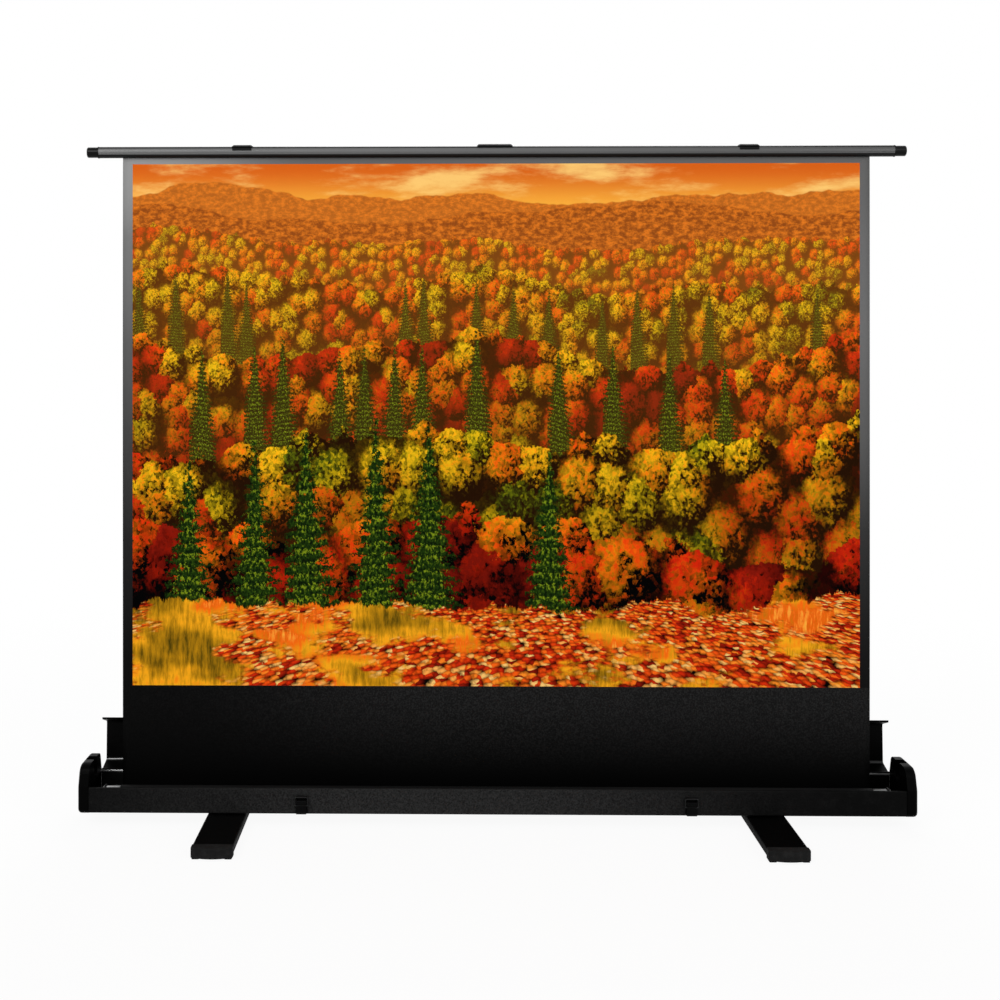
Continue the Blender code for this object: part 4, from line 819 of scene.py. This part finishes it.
def make_sheet():
    """The hanging cloth: one grid, waved a little, given its thickness, with a coated back."""
    look, size = colours(), sizes()
    width = SHEET_HIGH.x - SHEET_LOW.x
    height = SHEET_HIGH.z - SHEET_LOW.z
    bm = bmesh.new()
    bmesh.ops.create_grid(bm, x_segments=SHEET_ACROSS, y_segments=SHEET_UP, size=0.5)
    stand = Matrix.Rotation(math.radians(90), 4, "X")
    bmesh.ops.transform(bm, matrix=stand, verts=bm.verts)
    bmesh.ops.scale(bm, vec=(width, 1.0, height), verts=bm.verts)
    middle = Vector((0.0, (SHEET_LOW.y + SHEET_HIGH.y) / 2, (SHEET_LOW.z + SHEET_HIGH.z) / 2))
    bmesh.ops.translate(bm, vec=middle, verts=bm.verts)
    for vert in bm.verts:
        x, z = vert.co.x, vert.co.z
        hang = (z - SHEET_LOW.z) / height
        held = max(math.sin(math.pi * hang), 0.0) ** HOLD_POWER
        wave = math.sin(LONG_WAVE * x + LONG_SWAY * math.sin(LONG_LEAN * z))
        wave += SHORT_SHARE * math.sin(SHORT_WAVE * x - SHORT_LEAN * z)
        curl = (abs(x) / (width / 2)) ** CURL_POWER
        vert.co.y += size.ripple * held * (WAVE_SHARE * wave - CURL_SHARE * curl)
    bmesh.ops.recalc_face_normals(bm, faces=bm.faces)
    bmesh.ops.solidify(bm, geom=bm.faces[:], thickness=size.cloth)
    bm.normal_update()
    bmesh.ops.recalc_face_normals(bm, faces=bm.faces)
    for face in bm.faces:
        face.material_index = 0 if face.normal.y < -0.5 else 1
    piece = finished(
        "projection_sheet", bm, [sheet_front(look), sheet_back()], "case"
    )
    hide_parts("screen_fabric")
    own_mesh(piece)


# The cloth left on the roller: its turns, the radii they start and end at, and its thickness
WOUND_TURNS = 1.5
WOUND_INNER, WOUND_OUTER = 0.0188, 0.0197
WOUND_CLOTH = 0.0005
STEPS_A_TURN, WOUND_CUTS = 96, 7


def make_wound_cloth():
    """The turns left on the roller: a strip spun round it, then let in turn by turn."""
    length = WOUND_HIGH.x - WOUND_LOW.x
    bm = bmesh.new()
    start_y = ROLLER_Y + WOUND_INNER
    ends = [bm.verts.new((side * length / 2, start_y, ROLLER_Z)) for side in (-1, 1)]
    strip = bm.edges.new(ends)
    bmesh.ops.subdivide_edges(bm, edges=[strip], cuts=WOUND_CUTS)
    axle = Vector((0.0, ROLLER_Y, ROLLER_Z))
    bmesh.ops.spin(
        bm,
        geom=bm.verts[:] + bm.edges[:],
        cent=axle,
        axis=(1, 0, 0),
        angle=WOUND_TURNS * math.tau,
        steps=int(STEPS_A_TURN * WOUND_TURNS),
        use_merge=False,
    )
    row = len(ends) + WOUND_CUTS
    bm.verts.ensure_lookup_table()
    last = len(bm.verts) // row - 1
    for vert in bm.verts:
        share = min((vert.index // row) / last, 1.0)
        arm = Vector((0.0, vert.co.y - axle.y, vert.co.z - axle.z))
        arm.normalize()
        reach = WOUND_OUTER + (WOUND_INNER - WOUND_OUTER) * share
        vert.co = Vector((vert.co.x, axle.y, axle.z)) + arm * reach
    bmesh.ops.recalc_face_normals(bm, faces=bm.faces)
    bmesh.ops.solidify(bm, geom=bm.faces[:], thickness=WOUND_CLOTH)
    piece = finished("wound_turns", bm, [sheet_back("wound_back")], "spring_roller")
    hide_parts("wound_fabric")


# A screw head's shares: its top and the wall round its socket of its radius, its rounding,
# its socket's depth and how far it stands out of its seat of its rise
HEAD_TOP_SHARE, WALL_SHARE, CHAMFER_SHARE = 0.92, 0.34, 0.04
ROUND_SHARE, SOCKET_SHARE, SEAT_SHARE = 0.35, 0.55, 0.45


def make_screw(name, spot, out, radius, rise, body, material):
    """A pan head screw with a round socket, its head standing along out from spot."""
    bm = bmesh.new()
    top_radius = radius * HEAD_TOP_SHARE
    bmesh.ops.create_cone(
        bm, cap_ends=True, segments=24, radius1=radius, radius2=top_radius, depth=rise
    )
    top = max(bm.faces, key=lambda face: face.calc_center_median().z)
    soften(bm, list(top.edges), rise * ROUND_SHARE)
    top = max(bm.faces, key=lambda face: face.calc_center_median().z)
    bmesh.ops.inset_region(bm, faces=[top], thickness=radius * WALL_SHARE, depth=0.0)
    sunk, chamfer = rise * SOCKET_SHARE, radius * CHAMFER_SHARE
    bmesh.ops.inset_region(bm, faces=[top], thickness=chamfer, depth=-sunk)
    turn = Vector((0.0, 0.0, 1.0)).rotation_difference(Vector(out)).to_matrix().to_4x4()
    rest = Matrix.Translation(Vector(spot) + Vector(out) * rise * SEAT_SHARE)
    bmesh.ops.transform(bm, matrix=rest @ turn, verts=bm.verts)
    finished(name, bm, [material], body, smooth=False)


# A clip's front tongue: where it starts round the bar and how far it goes, its wall, its gap
# to the bar, how far it stays inside the clip's ends, and the rounding of its edges
LIP_START, LIP_SWEEP = math.radians(136.0), math.radians(34.0)
LIP_WALL, LIP_GAP, LIP_INSET, LIP_ROUND = 0.0012, 0.0003, 0.002, 0.0004


def make_clip_lip(side, material):
    """The tongue with which a bar clip wraps down the front of the bar."""
    word = "right" if side > 0 else "left"
    low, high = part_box(f"bar_clip_{word}")
    middle, half = (low.x + high.x) / 2, (high.x - low.x) / 2 - LIP_INSET
    bm = bmesh.new()
    corners = []
    for x, reach in ((-half, 0.0), (half, 0.0), (half, LIP_WALL), (-half, LIP_WALL)):
        out = BAR_RADIUS + LIP_GAP + reach
        y, z = BAR_Y + out * math.cos(LIP_START), BAR_Z + out * math.sin(LIP_START)
        corners.append(bm.verts.new((middle + x, y, z)))
    face = bm.faces.new(corners)
    bmesh.ops.spin(
        bm,
        geom=[face, *face.edges, *face.verts],
        cent=(0.0, BAR_Y, BAR_Z),
        axis=(1, 0, 0),
        angle=LIP_SWEEP,
        steps=8,
        use_merge=False,
    )
    bmesh.ops.recalc_face_normals(bm, faces=bm.faces)
    sharp = [edge for edge in bm.edges if edge.calc_face_angle(0.0) > 1.0]
    soften(bm, sharp, LIP_ROUND)
    finished(f"clip_lip_{word}", bm, [material], "bar", smooth=False)


# The caps' screws: y to the front and rear, z, radius and rise
CAP_SCREW_Y, CAP_SCREW_Z, CAP_SCREW = 0.034, 0.058, (0.0044, 0.0018)
# The bridge's screws: x to each side, how far in front of its middle, radius and rise
BRIDGE_SCREW_X, BRIDGE_SCREW_FRONT, BRIDGE_SCREW = 0.044, 0.003, (0.0036, 0.0014)


def make_screws(zinc):
    """Two screws on each end cap, and two on the bridge of the lift's top bracket."""
    for side, word in ((-1, "left"), (1, "right")):
        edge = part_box(f"end_cap_{word}")[side > 0].x
        for hand, end in ((-1, "front"), (1, "rear")):
            spot, name = (edge, hand * CAP_SCREW_Y, CAP_SCREW_Z), f"cap_screw_{end}_{word}"
            make_screw(name, spot, (side, 0, 0), *CAP_SCREW, "case", zinc)
        low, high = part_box("top_bracket")
        top = (side * BRIDGE_SCREW_X, (low.y + high.y) / 2 - BRIDGE_SCREW_FRONT, high.z)
        make_screw(f"bridge_screw_{word}", top, (0, 0, 1), *BRIDGE_SCREW, "bar", zinc)


# Stage

# The floor: half its width, how far below the feet it lies, and the ring in which it fades
# from nearly white to white
FLOOR_HALF, FLOOR_DROP = 9.0, 0.0003
RING_INNER, RING_OUTER, RING_WHITE = 1.1, 3.2, 0.93
# The share of white with which the surround lights the object
AIR_LIGHT = 0.5
# The soft lamps: name, place, width and power, all aimed at one point
LAMP_AIM = Vector((0.0, 0.0, 0.8))
LAMPS = (
    ("lamp_key", (-2.6, -3.4, 3.4), 2.6, 92.0),
    ("lamp_fill", (2.9, -3.0, 2.2), 2.6, 46.0),
    ("lamp_back", (0.4, 2.8, 3.0), 2.4, 60.0),
)


def make_stage():
    """A plain pale floor, a white surround and soft lamps."""
    bm = bmesh.new()
    bmesh.ops.create_grid(bm, x_segments=2, y_segments=2, size=FLOOR_HALF)
    mesh = bpy.data.meshes.new("studio_floor")
    bm.to_mesh(mesh)
    bm.free()
    floor = bpy.data.objects.new("studio_floor", mesh)
    floor.location.z = -FLOOR_DROP
    bpy.context.scene.collection.objects.link(floor)
    f = Finish("floor_paper")
    paper = f.add("ShaderNodeBsdfDiffuse", {}, {"Color": colours().floor[:]})
    glow = f.add("ShaderNodeEmission", {}, {"Strength": 1.0})
    x, y, _ = f.axes()
    away = (x * x + y * y) ** 0.5
    white = f.seen() * away.spread(RING_INNER, RING_OUTER, RING_WHITE, 1.0)
    mesh.materials.append(f.show(f.add("ShaderNodeMixShader", {}, (white, paper, glow))))
    light_world()
    for settings in LAMPS:
        make_lamp(*settings)


def light_world():
    """White seen by the camera and in gloss; a soft part of it lights the object."""
    f = Finish("studio_air", "worlds", "ShaderNodeOutputWorld")
    strength = AIR_LIGHT + f.seen() * (1.0 - AIR_LIGHT)
    values = {"Color": (1.0, 1.0, 1.0), "Strength": strength}
    bpy.context.scene.world = f.show(f.add("ShaderNodeBackground", {}, values))


def make_lamp(name, place, width, power):
    """A square soft lamp aimed at the screen."""
    data = bpy.data.lights.new(name, "AREA")
    data.size = width
    data.energy = power
    light = bpy.data.objects.new(name, data)
    light.location = place
    light.rotation_euler = (LAMP_AIM - Vector(place)).to_track_quat("-Z", "Y").to_euler()
    bpy.context.scene.collection.objects.link(light)


def make_camera():
    """The camera, upright and shifted, at the photograph's viewing angle."""
    set_up = bpy.context.scene.screen_camera
    data = bpy.data.cameras.new("screen_camera")
    data.lens = set_up.lens
    data.sensor_width = 36.0
    data.shift_x, data.shift_y = set_up.shift
    camera = bpy.data.objects.new("screen_camera", data)
    camera.location = set_up.place
    camera.rotation_euler = (math.radians(90), 0.0, set_up.yaw)
    bpy.context.scene.collection.objects.link(camera)
    bpy.context.scene.camera = camera
    bpy.context.scene.view_settings.view_transform = "Standard"


# Operators


class SCREEN_OT_camera(bpy.types.Operator):
    """Place the camera"""

    bl_idname = "screen_part.camera"
    bl_label = "Camera"

    def execute(self, context):
        make_camera()
        return {"FINISHED"}


class SCREEN_OT_case(bpy.types.Operator):
    """Finish the case, its end caps and the lid"""

    bl_idname = "screen_part.case"
    bl_label = "Case and lid"

    def execute(self, context):
        look = colours()
        coat = powder_coat("case_coat_fine", look.case[:], palest=3.7, rubbed_highlight_at=TROUGH_RUBBED_HIGHLIGHT)
        dress(["base_channel"], coat)
        shaded = [share * 0.5 for share in look.case]
        coat = powder_coat("lid_coat", shaded, rough=0.36, gloss=0.03, palest=1.8, rubbed_highlight_at=LID_RUBBED_HIGHLIGHT)
        dress(["lid_shell"], coat)
        dress(both("end_cap"), moulded("cap_plastic", grey(2), rough=0.3, scale=700.0, gloss=0.02))
        fine = moulded("fine_plastic", look.plastic[:], rough=0.4)
        dress(both("handle_mount", "roller_plug") + ["carry_handle"], fine)
        return {"FINISHED"}


class SCREEN_OT_sheet(bpy.types.Operator):
    """Hang the sheet and wind its last turns on the roller"""

    bl_idname = "screen_part.sheet"
    bl_label = "Sheet"

    def execute(self, context):
        make_sheet()
        make_wound_cloth()
        return {"FINISHED"}


class SCREEN_OT_lift(bpy.types.Operator):
    """Finish the folding lift and its pins"""

    bl_idname = "screen_part.lift"
    bl_label = "Folding lift"

    def execute(self, context):
        look = colours()
        paint = arm_coat("arm_paint", look.arms[:])
        dress(both("lower_arm", "upper_arm") + ["lift_bracket", "top_bracket"], paint)
        zinc = plated("zinc_plate", look.plating[:])
        dress(both("lift_pin", "elbow_pin", "top_pin"), zinc)
        make_screws(zinc)
        return {"FINISHED"}


class SCREEN_OT_bar(bpy.types.Operator):
    """Finish the top bar, its grip and its clips"""

    bl_idname = "screen_part.bar"
    bl_label = "Top bar"

    def execute(self, context):
        look = colours()
        dress(["top_bar"], drawn_bar("bar_satin", look.bar[:]))
        grip = moulded("grip_plastic", look.plastic[:], rough=0.46)
        dress(["grip_handle", "sheet_spline"] + both("bar_clip"), grip)
        for side in (-1, 1):
            make_clip_lip(side, grip)
        glossy = moulded(
            "plug_plastic", grey(3), rough=0.16, scale=300.0, depth=0.00002, gloss=0.11
        )
        dress(both("bar_plug"), glossy)
        return {"FINISHED"}


class SCREEN_OT_roller(bpy.types.Operator):
    """Finish the spring roller and its brackets"""

    bl_idname = "screen_part.roller"
    bl_label = "Roller"

    def execute(self, context):
        dress(["roller_tube"], alloy("roller_alloy_drawn", grey(205)))
        steel = plated("spring_steel", grey(140), rough=0.32)
        dress(both("roller_bracket") + ["roller_spring"], steel)
        return {"FINISHED"}


class SCREEN_OT_latches(bpy.types.Operator):
    """Finish the draw latches and their keepers"""

    bl_idname = "screen_part.latches"
    bl_label = "Latches"

    def execute(self, context):
        dark = plated("black_zinc", grey(15), rough=0.36)
        dress(both("latch_plate", "latch_lever", "lid_keeper"), dark)
        dress(both("latch_bail"), plated("bail_wire", grey(40), rough=0.3))
        return {"FINISHED"}


class SCREEN_OT_feet(bpy.types.Operator):
    """Finish the swivelling feet"""

    bl_idname = "screen_part.feet"
    bl_label = "Feet"

    def execute(self, context):
        look = colours()
        shaded = [share * 0.4 for share in look.case]
        dress(both("foot_bar"), powder_coat("foot_coat", shaded, rough=0.55, gloss=0.02, palest=1.4))
        dress(both("foot_shoe_front", "foot_shoe_rear"), rubber("shoe_rubber", 16))
        dress(both("foot_mount", "foot_bolt"), plated("foot_zinc", grey(120), rough=0.34))
        return {"FINISHED"}


class SCREEN_OT_stage(bpy.types.Operator):
    """Set the floor, the surround and the lamps"""

    bl_idname = "screen_part.stage"
    bl_label = "Stage"

    def execute(self, context):
        make_stage()
        return {"FINISHED"}


class SCREEN_PT_panel(bpy.types.Panel):
    """The sidebar's list of what can be set and made"""

    bl_idname = "SCREEN_PT_panel"
    bl_label = "Pull up screen"
    bl_space_type = "VIEW_3D"
    bl_region_type = "UI"
    bl_category = "Screen"

    def draw(self, context):
        layout = self.layout
        for group in SETTINGS:
            holder = getattr(context.scene, group)
            box = layout.box()
            for name in holder.bl_rna.properties.keys():
                if name not in ("rna_type", "name"):
                    box.prop(holder, name)
        for step in STEPS:
            layout.operator(step.bl_idname)


SETTINGS = {
    "screen_colours": ScreenColours,
    "screen_sizes": ScreenSizes,
    "screen_camera": ScreenCamera,
}
STEPS = (
    SCREEN_OT_camera,
    SCREEN_OT_case,
    SCREEN_OT_sheet,
    SCREEN_OT_lift,
    SCREEN_OT_bar,
    SCREEN_OT_roller,
    SCREEN_OT_latches,
    SCREEN_OT_feet,
    SCREEN_OT_stage,
)


def register():
    for kind in (*SETTINGS.values(), *STEPS, SCREEN_PT_panel):
        bpy.utils.register_class(kind)
    for name, kind in SETTINGS.items():
        setattr(bpy.types.Scene, name, bpy.props.PointerProperty(type=kind))


def unregister():
    for name in SETTINGS:
        delattr(bpy.types.Scene, name)
    for kind in (SCREEN_PT_panel, *reversed(STEPS), *SETTINGS.values()):
        bpy.utils.unregister_class(kind)


def run_steps():
    for step in STEPS:
        group, name = step.bl_idname.split(".")
        getattr(getattr(bpy.ops, group), name)()


def main():
    register()
    run_steps()


if __name__ == "__main__":
    main()
